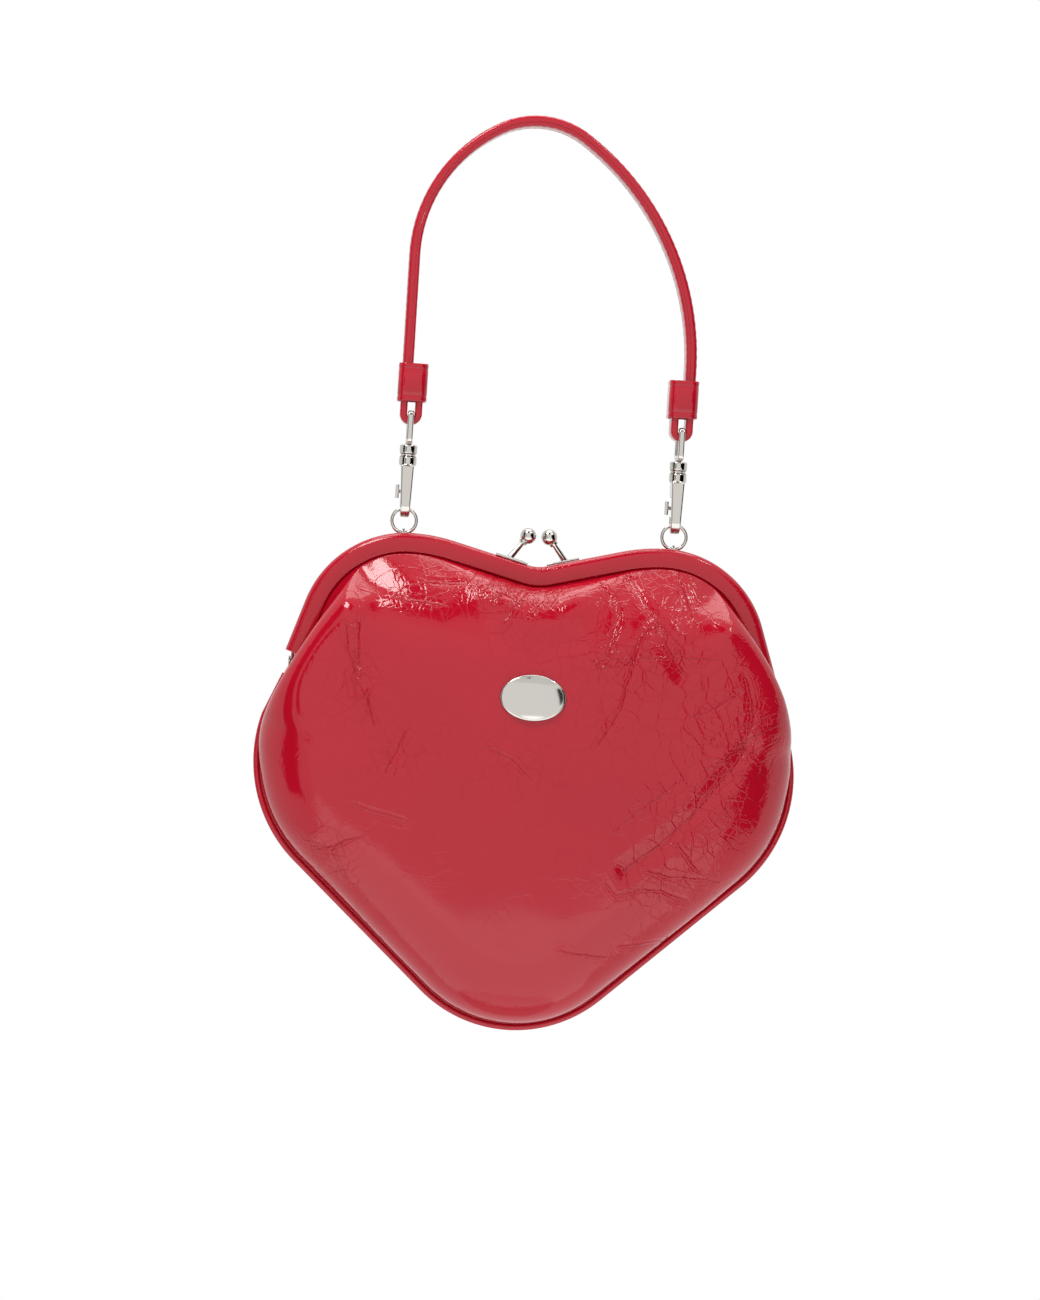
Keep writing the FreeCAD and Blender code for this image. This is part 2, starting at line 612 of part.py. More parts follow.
def make_clasp(face):
    """Foot, collar and ball turned in one piece, leaning over the middle of the mouth."""
    foot_z = crest_z + (ARM_FOOT_X - crest_x) * math.tan(math.radians(crest_angle))
    foot = at(ARM_FOOT_X, frame_mid, foot_z)
    lean_to = at(BALL_X, BALL_Y, dip_z + BALL_RISE) - foot
    reach = lean_to.Length
    collar_from = reach - BALL_RADIUS - COLLAR_HEIGHT / 2
    collar_to = reach - math.sqrt(BALL_RADIUS ** 2 - COLLAR_RADIUS ** 2)
    corners = [at(0, 0, 0), at(ARM_FOOT_RADIUS, 0, 0), at(ARM_NECK_RADIUS, 0, collar_from),
               at(COLLAR_RADIUS, 0, collar_from), at(COLLAR_RADIUS, 0, collar_to)]
    top = at(0, 0, reach + BALL_RADIUS)
    line = [Part.makeLine(p, q) for p, q in zip(corners, corners[1:])]
    line.append(Part.Arc(corners[-1], at(BALL_RADIUS, 0, reach), top).toShape())
    line.append(Part.makeLine(top, corners[0]))
    clasp = Part.Face(Part.Wire(line)).revolve(at(0, 0, 0), at(0, 0, 1), 360)
    clasp.Placement = FreeCAD.Placement(foot, FreeCAD.Rotation(at(0, 0, 1), lean_to))
    under = box(-LOBE_X, LOBE_X, -FRAME_DEPTH, 2 * FRAME_DEPTH, -LOBE_X, 0)
    under.rotate(at(0, 0, 0), Y_AXIS, -crest_angle)
    under.translate(at(crest_x, 0, crest_z) + at(-sind(crest_angle), 0, cosd(crest_angle)) * FIT)
    clasp = clasp.cut(under).cut(clasp_base())
    return on_side(on_face(clasp, face), CLASP_SIDE[face])


def make_piping():
    """A covered cord round the seam, with the flange that the two walls are sewn to."""
    path = beside(*SEAM, -PIPING_RADIUS)
    cord = Part.Face(Part.Wire(Part.Circle(at(0, 0, 0), at(0, 0, 1), PIPING_RADIUS).toShape()))
    flange = polygon([(-PIPING_FLANGE, -PIPING_FLANGE_HALF), (0, -PIPING_FLANGE_HALF),
                      (0, PIPING_FLANGE_HALF), (-PIPING_FLANGE, PIPING_FLANGE_HALF)])
    half = swept(path, cord).fuse(swept(path, flange))
    return fused([half, mirrored_x(half)])


crown_z = dip_z - CROWN_DROP


def edge_points(mouth, seam):
    """Where a wall is held: along the mouth of the channel, then along the seam."""
    arch = beside(*ARCH, -FRAME_BAND - mouth)
    low = beside(*SEAM, -2 * PIPING_RADIUS - SEAM_SET_IN - seam)
    half = points_along(arch, ARCH_STATIONS, 0, ARCH_HELD)
    half += points_along(low, SEAM_STATIONS, 1 - SEAM_HELD, 1)
    return half + [(-x, z) for x, z in half[-2:0:-1]]


def spacing(edge):
    """How far along a closed edge each of its points is, and its whole length."""
    reached = [0.0]
    for (x0, z0), (x1, z1) in zip(edge, edge[1:] + edge[:1]):
        reached.append(reached[-1] + math.hypot(x1 - x0, z1 - z0))
    return reached


def ring_through(points, edge):
    """A closed curve through points that follow the held edge."""
    curve = Part.BSplineCurve()
    curve.interpolate(Points=points, PeriodicFlag=True, Parameters=spacing(edge))
    return Part.Wire(curve.toShape())


def held_on_arch(index, count):
    return index < ARCH_STATIONS or index > count - ARCH_STATIONS


def wall_rings(mouth, seam, mouth_depth, seam_depth, crown):
    """Closed curves from the held edge of a domed lining in to its flat crown."""
    edge = edge_points(mouth, seam)
    rings = []
    for ring in range(RINGS + 1):
        angle = 90 * ring / RINGS
        size = CROWN_FLAT + (1 - CROWN_FLAT) * cosd(angle)
        points = []
        for index, (x, z) in enumerate(edge):
            held = mouth_depth if held_on_arch(index, len(edge)) else seam_depth
            depth = held + (crown - held) * sind(angle)
            points.append(at(x * size, depth, crown_z + (z - crown_z) * size))
        rings.append(ring_through(points, edge))
    return rings


def puffed_ridge(edge):
    """Where a wall turns to the front, puffed out over each arm, and how far it is puffed there."""
    half = edge[:ARCH_STATIONS + SEAM_STATIONS]
    first = [x > LOBE_X and dip_z - z > RIDGE_FROM for x, z in half].index(True)
    last = [x > LOBE_X and dip_z - z > RIDGE_TO for x, z in half].index(True)
    ridge = [(x, z, 0.0) for x, z in half]
    reached = spacing(edge)
    for index in range(first, last):
        share = (reached[index] - reached[first]) / (reached[last] - reached[first])
        x, z = [(1 - share) ** 2 * start + 2 * share * (1 - share) * bow + share ** 2 * end
                for start, bow, end in zip(half[first], (RIDGE_BOW_X, dip_z - RIDGE_BOW_DROP), half[last])]
        ridge[index] = (x, z, sind(180 * share))
    return ridge + [(-x, z, puff) for x, z, puff in ridge[-2:0:-1]]


def drawn_in(x, z, by):
    """A point moved towards the crown."""
    share = 1 - by / math.hypot(x, z - crown_z)
    return x * share, crown_z + (z - crown_z) * share


def panel_rings(inset):
    """Closed curves of a wall's outside, or of its inside where they are inset by the leather."""
    edge = edge_points(MOUTH_SET_IN, 0)
    ridge = puffed_ridge(edge)
    rim, lip, turn = [], [], []
    domes = [[] for ring in range(RINGS)]
    for index, ((x, z), (rx, rz, puff)) in enumerate(zip(edge, ridge)):
        if held_on_arch(index, len(edge)):
            held = slot_far
            low = half_gap + FRAME_DEPTH + FREE + LIP_RISE * puff
            lx, lz = drawn_in(x, z, inset + LIP_SET_IN * puff)
        else:
            held = PIPING_FLANGE_HALF + SEAT + PANEL_LEATHER
            low = held + LIP_RISE
            lx, lz = drawn_in(x, z, inset)
        high = low + LIP_RISE
        high += (RIDGE_DEPTH - high) * puff
        rim.append(at(x, held - inset, z))
        lip.append(at(lx, low, lz))
        tx, tz = drawn_in(rx, rz, inset)
        turn.append(at(tx, high, tz))
        for ring, points in enumerate(domes):
            angle = 90 * (ring + 1) / RINGS
            size = CROWN_FLAT + (1 - CROWN_FLAT) * cosd(angle) ** (2 / CROWN_FULLNESS)
            rise = sind(angle) ** (2 / CROWN_FULLNESS)
            dx, dz = drawn_in(rx * size, crown_z + (rz - crown_z) * size, inset * cosd(angle))
            points.append(at(dx, high + (CROWN_DEPTH - high) * rise - inset * sind(angle), dz))
    return [ring_through(points, edge) for points in [rim, lip, turn] + domes]


def domed_wall(outer, inner):
    """A shell between two sets of rings, closed by a rim along the held edge."""
    faces = [Part.makeRuledSurface(outer[0].Edges[0], inner[0].Edges[0])]
    for rings in (outer, inner):
        faces += Part.makeLoft(rings, False, True).Faces
        faces.append(Part.Face(rings[-1]))
    shell = Part.makeShell(faces)
    shell.sewShape()
    wall = Part.makeSolid(shell)
    if wall.Volume < 0:
        wall.reverse()
    return wall


panel_wall = domed_wall(panel_rings(0), panel_rings(PANEL_LEATHER))


def make_panel(face):
    panel = panel_wall
    if face == "front":
        for prong in badge_prongs(SEAT):
            panel = panel.cut(prong)
    return on_face(panel, face)


def make_lining(face):
    """The lower lining, a bowl that hangs below the hinges."""
    t = LINING_CLOTH
    sewn = PIPING_FLANGE_HALF + SEAT
    crown = CROWN_DEPTH - LINING_SET_IN
    outer = wall_rings(LINING_SET_IN, LINING_SET_IN, sewn + t, sewn + t, crown)
    inner = wall_rings(LINING_SET_IN + t, LINING_SET_IN + t, sewn, sewn, crown - t)
    below = box(-2 * LEG_SPACING, 2 * LEG_SPACING, 0, 2 * CROWN_DEPTH, dip_z - 2 * TIP_DROP,
                hinge_z - HINGE_EYE_RADIUS - FREE)
    return on_face(domed_wall(outer, inner).common(below), face)


def make_facing(face):
    """The upper lining, held in the channel and hanging inside the bowl's rim."""
    t = LINING_CLOTH
    crown = CROWN_DEPTH - FACING_SET_IN
    mouth = MOUTH_SET_IN + PANEL_LEATHER + SEAT
    outer = wall_rings(mouth, FACING_SET_IN, slot_near + t + SEAT, slot_near + t + SEAT, crown)
    inner = wall_rings(mouth, FACING_SET_IN, slot_near + SEAT, slot_near + SEAT, crown - t)
    reach = flank_x - FACING_CORNER
    above = box(-reach, reach, 0, 2 * CROWN_DEPTH, hinge_z - HINGE_EYE_RADIUS, dip_z + LOBE_RISE)
    return on_face(domed_wall(outer, inner).common(above), face)


def panel_depth_at(drop):
    """Depth of the panel's outside on the middle line."""
    probe = Part.makeLine(at(0, 0, dip_z - drop), at(0, 2 * CROWN_DEPTH, dip_z - drop))
    return max(vertex.Y for vertex in panel_wall.common(probe).Vertexes)


badge_depth = panel_depth_at(BADGE_DROP)
badge_fall = panel_depth_at(BADGE_DROP + BADGE_HEIGHT / 2) - panel_depth_at(BADGE_DROP - BADGE_HEIGHT / 2)
badge_lean = math.degrees(math.atan2(badge_fall, BADGE_HEIGHT))


def badge_set(shape, out):
    """Lay a shape drawn on a level table against the sloping front of the pouch."""
    shape.rotate(at(0, 0, 0), at(1, 0, 0), -90 + badge_lean)
    shape.translate(at(0, badge_depth, dip_z - BADGE_DROP))
    shape.translate(at(0, cosd(badge_lean), sind(badge_lean)) * out)
    return shape


def badge_prongs(extra):
    prongs = []
    for side in SIDES.values():
        foot = at(side * BADGE_PRONG_SPACING / 2, 0, -BADGE_PRONG_LENGTH)
        prongs.append(badge_set(rod(foot, foot + at(0, 0, BADGE_PRONG_LENGTH + FIT + extra),
                                    BADGE_PRONG_RADIUS + extra), BADGE_LIFT))
    return prongs


def make_badge():
    """A plain oval plate with a low crown and two prongs through the leather."""
    rim = Part.Face(Part.Wire(Part.Ellipse(at(0, 0, 0), BADGE_LENGTH / 2, BADGE_HEIGHT / 2).toShape()))
    plate = rim.extrude(at(0, 0, BADGE_EDGE + BADGE_CROWN))
    reach = (BADGE_LENGTH ** 2 / 4 + BADGE_CROWN ** 2) / (2 * BADGE_CROWN)
    plate = plate.common(Part.makeSphere(reach, at(0, 0, BADGE_EDGE + BADGE_CROWN - reach)))
    return on_face(fused([badge_set(plate, BADGE_LIFT)] + badge_prongs(0)), "front")


NODES = {"handle_strap": make_handle_strap(), "handle_lining": make_handle_lining()}
hook = make_hook()
for side, sign in SIDES.items():
    NODES[side + "_keeper"] = make_keeper(side)
    NODES[side + "_swivel_eye"] = make_swivel_eye(side)
    NODES[side + "_hook"] = on_side(hook, side)
    NODES[side + "_gate"] = on_side(make_gate(-sign), side)
    NODES[side + "_gate_pin"] = on_side(gate_pin(), side)
    NODES[side + "_ring"] = make_ring(side)
    NODES[side + "_ring_lug"] = make_lug(side)
    NODES[side + "_hinge_pin"] = make_hinge_pin(side)
for face in FACES:
    NODES[face + "_frame"] = make_frame(face)
    NODES[face + "_frame_cover"] = make_cover(face)
    NODES[face + "_packing_cord"] = make_packing(face)
    NODES[face + "_clasp_base"] = make_clasp_base(face)
    NODES[face + "_clasp"] = make_clasp(face)
    NODES[face + "_panel"] = make_panel(face)
    NODES[face + "_lining"] = make_lining(face)
    NODES[face + "_facing"] = make_facing(face)
NODES["piping"] = make_piping()
NODES["badge"] = make_badge()

os.makedirs("parts", exist_ok=True)
for name, shape in NODES.items():
    shape.exportStep("parts/" + name + ".step")
    extent = shape.BoundBox
    print(f"{name}: {len(shape.Solids)} solid, valid {shape.isValid()}, {shape.Volume:.1f} mm3, "
          f"z {extent.ZMin:.1f} to {extent.ZMax:.1f}")
print(f"grip to dip {dip_z:.2f}, hinge x {hinge_x:.2f} z {hinge_z:.2f}, hook x {hook_x:.2f}, "
      f"bar z {bar_z:.2f}, ring z {ring_z:.2f}, lug z {lug_z:.2f}, gate pin {gate_pin_y:.2f} {gate_pin_z:.2f}")
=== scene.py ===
import bpy
import math
import numpy as np
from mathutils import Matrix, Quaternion, Vector, noise


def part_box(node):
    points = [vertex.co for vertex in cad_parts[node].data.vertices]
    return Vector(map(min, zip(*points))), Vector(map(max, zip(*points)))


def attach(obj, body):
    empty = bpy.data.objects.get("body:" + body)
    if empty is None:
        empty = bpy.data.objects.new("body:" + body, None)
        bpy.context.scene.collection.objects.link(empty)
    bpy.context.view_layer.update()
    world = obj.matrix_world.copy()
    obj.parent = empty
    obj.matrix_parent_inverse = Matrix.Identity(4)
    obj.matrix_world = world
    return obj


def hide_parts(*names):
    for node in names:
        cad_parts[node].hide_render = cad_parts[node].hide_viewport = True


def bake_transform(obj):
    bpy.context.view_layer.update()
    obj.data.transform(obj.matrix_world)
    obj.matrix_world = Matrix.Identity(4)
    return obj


# A heart shaped purse on a kiss-lock frame, hanging by its strap. The CAD model is the frame that
# every piece is fitted to. Sizes are in millimetres, heights V are measured from the frame's dip.
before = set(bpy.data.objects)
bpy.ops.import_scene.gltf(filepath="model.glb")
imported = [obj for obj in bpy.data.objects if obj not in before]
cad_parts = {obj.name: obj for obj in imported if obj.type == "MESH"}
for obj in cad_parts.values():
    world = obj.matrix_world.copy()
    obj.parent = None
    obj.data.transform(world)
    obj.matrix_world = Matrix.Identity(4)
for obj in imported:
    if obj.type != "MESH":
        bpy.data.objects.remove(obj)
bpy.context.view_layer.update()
MM = 0.001

# The two walls of the pouch: crinkled patent leather, 1.1 mm thick, cut as hearts and sewn together
# round the edge. Their tops are tucked into the channels of the frame, and below the shoulders the
# leather puffs out in front of the frame's arms before it turns back to the seam.
DIP_RADIUS = 14.0
LOBE_X = 46.5
LOBE_RISE = 9.5
LOBE_RADIUS = 62.8
SHOULDER_RADIUS = 39.0
ARM_ANGLE = 71.5
HINGE_DROP = 40.0
ARM_END_GAP = 4.5
FRAME_BAND = 7.0
FLANK_START = 3.6
FLANK_SPLAY = 16.5
FLANK_LENGTH = 16.4
CHEEK_RADIUS = 52.0
TIP_RADIUS = 49.0
TIP_DROP = 169.7
PIPING_RADIUS = 1.2
DIP_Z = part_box("front_frame_cover")[1].z / MM - LOBE_RISE


def bend(radius, turn):
    """A run of a path: its length and how far it turns, with left turns positive."""
    return radius * math.radians(abs(turn)), turn


def place_on(path, distance):
    """Place and heading after a distance along a path of straights and bends."""
    x, v, heading, runs = path
    for length, turn in runs:
        step = min(distance, length)
        start = math.radians(heading)
        turned = math.radians(turn) * step / length
        if turn:
            radius = length / math.radians(turn)
            x += radius * (math.sin(start + turned) - math.sin(start))
            v -= radius * (math.cos(start + turned) - math.cos(start))
        else:
            x += step * math.cos(start)
            v += step * math.sin(start)
        heading += math.degrees(turned)
        distance -= step
        if distance <= 0:
            break
    return x, v, heading


def path_length(path):
    return sum(length for length, turn in path[3])


bends = DIP_RADIUS + LOBE_RADIUS
crest_run = math.sqrt(LOBE_X ** 2 + (bends - LOBE_RISE) ** 2 - bends ** 2)
crest_angle = math.degrees(math.atan2(LOBE_X, bends - LOBE_RISE) - math.atan2(crest_run, bends))
arm_top = LOBE_RISE - SHOULDER_RADIUS * (1 - math.cos(math.radians(ARM_ANGLE)))
arm_run = (arm_top + HINGE_DROP - ARM_END_GAP) / math.sin(math.radians(ARM_ANGLE))
ARCH = (0, 0, 0, [bend(DIP_RADIUS, crest_angle), (crest_run, 0), bend(LOBE_RADIUS, -crest_angle),
                  bend(SHOULDER_RADIUS, -ARM_ANGLE), (arm_run, 0)])
arm_end = place_on(ARCH, path_length(ARCH))
splay = math.radians(FLANK_SPLAY)
flank_x = arm_end[0] + ARM_END_GAP / math.tan(math.radians(ARM_ANGLE)) + FLANK_START * math.sin(splay)
flank_v = -HINGE_DROP - FLANK_START * math.cos(splay)
cheek_x = flank_x + FLANK_LENGTH * math.sin(splay) - CHEEK_RADIUS * math.cos(splay)
cheek_v = flank_v - FLANK_LENGTH * math.cos(splay) - CHEEK_RADIUS * math.sin(splay)
tip_rise = TIP_RADIUS - TIP_DROP - cheek_v
between = math.hypot(cheek_x, tip_rise)
lean = math.degrees(math.asin((CHEEK_RADIUS - TIP_RADIUS) / between))
seam_heading = math.degrees(math.atan2(tip_rise, -cheek_x)) - lean
SEAM = (flank_x, flank_v, FLANK_SPLAY - 90,
        [(FLANK_LENGTH, 0), bend(CHEEK_RADIUS, seam_heading + 90 - FLANK_SPLAY),
         (between * math.cos(math.radians(lean)), 0), bend(TIP_RADIUS, -180 - seam_heading)])

# How the wall lies along its edge: tucked into the channel, then over the puffed ridge to the crown
TUCK = 1.5
TUCK_DEPTH = 3.9
MOUTH_DEPTH = 6.0
SEWN_DEPTH = 0.9
EDGE_DEPTH = 3.2
RIDGE_START_V = -4.0
RIDGE_END_V = -62.0
RIGHT_BOW = np.array((97.0, -38.0))
LEFT_BOW = np.array((92.5, -42.5))
RIDGE_DEPTH = 15.0
SEAM_OVERHANG = 1.8
CROWN_V = -82.0
CROWN_DEPTH = 30.0
CROWN_HALF_WIDTH = 66.0
CROWN_HALF_HEIGHT = 58.0
BELLY = 9.0
EDGE_ROUND = 30.0
LOBE_ROUND = 34.0
EVENED = 22.0
EVENED_SHARE = 0.12
MOUTH_PULL = 2.4
MOUTH_INSET = 1.1
LIP_INSET = 0.6
LIP_DEPTH = 0.6
SEAM_LEAD = 2.0
SEWN_CLEAR = 0.3
SEWN_TURN = 0.2
# From where to where the overhang ends below the dip, and the lobes begin beside it and end below it
OVERHANG_FADE = (60, 84)
LOBE_FADE_IN = (12, 40)
LOBE_FADE_OUT = (4, 16)
# Powers that shape the puff, the turn of the edge and the lobes, and that set the rings closer
PUFF_SKEW = 0.8
PUFF_FULLNESS = 0.7
TURN_POWER = 1.2
LOBE_POWER = 1.4
RING_POWER = 1.6
WALL_LEATHER = 1.1
STATION = 1.25
CORNER_STATIONS = 8
TURN_RINGS = 16
DOME_RINGS = 84
RIDGE_ROUNDS = 8
EDGE_ROUNDS = 6
FORM_ROUNDS = 3


def ease(value, low, high):
    share = np.clip((np.asarray(value, float) - low) / (high - low), 0, 1)
    return share * share * (3 - 2 * share)


def beside(path, distances, offset):
    """Points at an offset to the left of a path, as an array of x and v."""
    points = []
    for distance in distances:
        x, v, heading = place_on(path, distance)
        turn = math.radians(heading)
        points.append((x - offset * math.sin(turn), v + offset * math.cos(turn)))
    return np.array(points)


def bowed(start, corner, end, share):
    """Points of a bow between two ends that is drawn towards a corner."""
    share = share[:, None]
    return (1 - share) ** 2 * start + 2 * share * (1 - share) * corner + share ** 2 * end


def wall_edges(inset, puffed, bow):
    """The held edge, the mouth and the ridge of one half of a wall, from dip to tip."""
    along_arch = np.arange(0, path_length(ARCH), STATION)
    along_seam = np.arange(SEAM_LEAD, path_length(SEAM), STATION)
    along_seam[-1] = path_length(SEAM)
    turn = np.linspace(0, 1, CORNER_STATIONS + 2)[1:-1]
    sewn = -2 * PIPING_RADIUS - SEWN_CLEAR - inset
    turned = sewn - SEWN_TURN
    over = puffed * SEAM_OVERHANG * (1 - ease(-beside(SEAM, along_seam, 0)[:, 1], *OVERHANG_FADE))
    on_frame = [beside(ARCH, along_arch, offset - FRAME_BAND)
                for offset in (TUCK, -MOUTH_INSET, -LIP_INSET - inset)]
    on_seam = [beside(SEAM, along_seam, sewn), beside(SEAM, along_seam, turned),
               np.vstack([beside(SEAM, [d], o + turned - inset) for d, o in zip(along_seam, over)])]
    held, mouth, ridge = (
        np.concatenate([a, bowed(a[-1], np.array((a[-1][0], s[0][1])), s[0], turn), s])
        for a, s in zip(on_frame, on_seam))
    on_arch = np.concatenate([np.ones(len(along_arch)), 1 - turn, np.zeros(len(along_seam))])
    first, last = (np.argmax((ridge[:, 0] > LOBE_X) & (ridge[:, 1] < v))
                   for v in (RIDGE_START_V, RIDGE_END_V))
    share = np.linspace(0, 1, last - first + 1)
    puff = np.zeros(len(ridge))
    if puffed:
        ridge[first:last + 1] = bowed(ridge[first], bow, ridge[last], share)
        puff[first:last + 1] = np.sin(math.pi * share ** PUFF_SKEW) ** PUFF_FULLNESS
    return held, mouth, ridge, on_arch, puff


def smoothed(values, rounds):
    for _ in range(rounds):
        values = (np.roll(values, 1, 0) + 2 * values + np.roll(values, -1, 0)) / 4
    return values


def all_round(right, left):
    """The right half followed by the left one in mirror image, as one closed ring."""
    return np.concatenate([right, left[-2:0:-1] * (np.array((-1, 1)) if left.ndim == 2 else 1)])


def evened(depth, flat, reach):
    """Depths round a ring without the ups and downs that are shorter than a reach."""
    perimeter = np.linalg.norm(np.roll(flat, -1, 0) - flat, axis=1).sum()
    waves = np.fft.rfft(depth)
    share = min(reach / max(perimeter, 1e-6), EVENED_SHARE)
    damping = np.exp(-0.5 * (2 * math.pi * share * np.arange(len(waves))) ** 2)
    return np.fft.irfft(waves * damping, len(depth))


def wall_form(inset, crown_depth, puffed):
    """The wall's surface without its creases, rings by stations by (x, depth, v)."""
    halves = zip(wall_edges(inset, puffed, RIGHT_BOW), wall_edges(inset, puffed, LEFT_BOW))
    held, mouth, ridge, on_arch, puff = (all_round(right, left) for right, left in halves)
    ridge = smoothed(ridge, RIDGE_ROUNDS)
    on_arch, puff = smoothed(on_arch, EDGE_ROUNDS), smoothed(puff, EDGE_ROUNDS)
    held_depth = SEWN_DEPTH + (TUCK_DEPTH - SEWN_DEPTH - 0.4 * inset) * on_arch - 0.2 * inset
    mouth_depth = held_depth + (MOUTH_DEPTH - TUCK_DEPTH + puff) * on_arch + LIP_DEPTH * (1 - on_arch)
    ridge_depth = EDGE_DEPTH + (MOUTH_DEPTH + LIP_DEPTH - EDGE_DEPTH) * on_arch - inset
    ridge_depth += (RIDGE_DEPTH - ridge_depth) * puff
    centre = np.array((0, CROWN_V))
    inward = centre - mouth
    mouth = mouth + MOUTH_PULL * puff[:, None] * inward / np.linalg.norm(inward, axis=1, keepdims=True)
    towards = np.arctan2((ridge[:, 1] - CROWN_V) / CROWN_HALF_HEIGHT, ridge[:, 0] / CROWN_HALF_WIDTH)
    oval = np.stack([CROWN_HALF_WIDTH * np.cos(towards), CROWN_HALF_HEIGHT * np.sin(towards)], 1)
    lobe = ease(np.abs(ridge[:, 0]), *LOBE_FADE_IN) * (1 - ease(-ridge[:, 1], *LOBE_FADE_OUT))
    across = np.linalg.norm(ridge - centre, axis=1)
    turn_rise = crown_depth - BELLY - ridge_depth
    turn_reach = EDGE_ROUND * (turn_rise / (CROWN_DEPTH - BELLY)) ** TURN_POWER
    rings = []
    for share in np.linspace(0, 1, TURN_RINGS, endpoint=False):
        first, second, third = (1 - share) ** 2, 2 * share * (1 - share), share ** 2
        flat = first * held + second * mouth + third * ridge
        rings.append((flat, first * held_depth + second * mouth_depth + third * ridge_depth))
    for inward in np.linspace(0, 1, DOME_RINGS) ** RING_POWER:
        rounded = np.clip(1 - inward * across / turn_reach, 0, 1)
        sloped = np.clip(1 - inward * across / LOBE_ROUND, 0, 1)
        rise = (1 - lobe) * np.sqrt(1 - rounded ** 2) + lobe * (1 - sloped ** LOBE_POWER)
        depth = ridge_depth + turn_rise * rise + BELLY * (1 - (1 - inward) ** 2)
        shape = ease(inward, 0.1, 1)
        flat = centre + (1 - inward) * ((1 - shape) * (ridge - centre) + shape * oval)
        rings.append((flat, evened(depth, flat, EVENED * ease(inward, 0.02, 0.4))))
    form = np.array([np.column_stack([flat[:, 0], depth, flat[:, 1]]) for flat, depth in rings])
    for _ in range(FORM_ROUNDS):
        form[1:-1] = (form[:-2] + 2 * form[1:-1] + form[2:]) / 4
    return form


# Creases that show on the front, as x and V along each line, with depth and half width
CREASES = [
    ([(24, -5), (28, -9.5), (29.5, -16), (27, -28)], 0.3, 1.1),
    ([(33, -2.5), (37.5, -9.5), (43.5, -16), (53, -26)], 0.5, 1.4),
    ([(51.5, 1.4), (53.5, -6), (57, -15)], 0.3, 1.1),
    ([(20, -33), (31, -31), (66, -29)], 0.25, 1.0), ([(23, -35), (35, -33)], 0.2, 1.0),
    ([(38, -22), (34.7, -36), (31, -50), (25, -61)], 0.25, 1.1),
    ([(60, -50), (65.6, -47), (73.6, -41.5)], 0.3, 1.1), ([(63.6, -69.5), (78.7, -60)], 0.3, 1.1),
    ([(79, -60), (70, -73), (60, -86), (50, -96), (37, -107)], 1.7, 3.2),
    ([(30.5, -113), (34, -116.5), (42, -114), (51, -113.7), (60.5, -117)], 0.3, 1.1),
    ([(44, -107), (71, -110)], 0.2, 1.0), ([(55, -97), (62.5, -105)], 0.25, 1.0),
    ([(-68, -26), (-67, -33), (-63, -44), (-59, -51.5), (-56, -60)], 0.3, 1.1),
    ([(-64, -25), (-62, -43)], 0.2, 1.0), ([(-39, -8), (-26, -7.5), (-22, -4)], 0.3, 1.1),
    ([(-17, -8), (-9, -12)], 0.3, 1.0), ([(-6, -13), (-11, -20)], 0.25, 1.0),
    ([(0, -15), (4, -8)], 0.3, 1.0), ([(76, -36), (80, -49), (76, -65)], 0.3, 1.2),
    ([(77, -54), (87, -48)], 0.2, 1.0), ([(78, -58), (89, -52)], 0.2, 1.0),
    ([(79, -63), (90, -57)], 0.2, 1.0), ([(-61, -89), (-44, -94)], 0.2, 1.0),
    ([(-77, -104), (-69, -106), (-60, -101)], 0.25, 1.0), ([(-69, -106), (-64, -116)], 0.25, 1.0),
    ([(16, -138), (31, -139)], 0.2, 1.0), ([(38, -135), (56, -133)], 0.2, 1.0),
    ([(33, -92), (53, -75)], 0.2, 1.0), ([(-50, -14), (-35, -16)], 0.2, 1.0),
    ([(-74, -107), (-62, -102)], 0.5, 3.0), ([(44, -20), (49, -29), (54, -35)], 1.1, 3.4),
    ([(-45, -62), (-48, -70), (-51, -77)], 0.5, 1.6), ([(-14, -67), (-5, -71), (1, -76)], 0.3, 1.4),
    ([(-20, -10), (-14, -4)], 0.3, 0.9), ([(-14, -12), (-7, -5.5)], 0.3, 0.9),
    ([(-8, -14), (-2, -8)], 0.3, 0.9), ([(-3, -18), (5, -8)], 0.3, 0.9),
    ([(4, -14), (9, -8)], 0.3, 0.9)]
# Patches of fine crackle: centre x, V, reach and strength
CRACKLE = [
    (0, -14, 18, 0.35), (45, -18, 22, 0.45), (80, -56, 16, 0.9), (64, -84, 20, 0.8),
    (-69, -106, 12, 0.9), (-62, -45, 14, 0.6), (-43, -10, 9, 0.6), (-25, -8, 12, 0.4),
    (48, -110, 16, 0.7), (30, -45, 30, 0.3), (-48, -70, 10, 0.5), (-4, -74, 14, 0.35)]
# Blots of the leather's loose swell: size and height
SWELLS = [(46, 0.6), (17, 0.10)]
# A crease sinks by a share of its depth, with a low bank beside it
FOLD_SINK = 0.6
FOLD_BANK = 0.2
FOLD_BANK_AT = 1.7
WANDER = 1.2
WANDER_SIZE = 12
CRACKLE_CELL = 11
CRACK_WIDTH = 0.13
CRACKLE_RISE = 0.08
CRACKLE_ALL_OVER = 0.05
CRACKLE_BY_CREASE = 0.3
CRACKLE_REACH = 4


def distance_to_line(x, v, line):
    """Distance to a line of points, and the same with a sign that tells the line's two sides apart."""
    nearest = np.full(x.shape, 1e9)
    signed = np.full(x.shape, 1e9)
    for (x0, v0), (x1, v1) in zip(line, line[1:]):
        length = (x1 - x0) ** 2 + (v1 - v0) ** 2
        share = np.clip(((x - x0) * (x1 - x0) + (v - v0) * (v1 - v0)) / length, 0, 1)
        gap = np.hypot(x - x0 - share * (x1 - x0), v - v0 - share * (v1 - v0))
        side = np.sign((x1 - x0) * (v - v0) - (v1 - v0) * (x - x0))
        signed = np.where(gap < nearest, side * gap, signed)
        nearest = np.minimum(nearest, gap)
    return nearest, signed


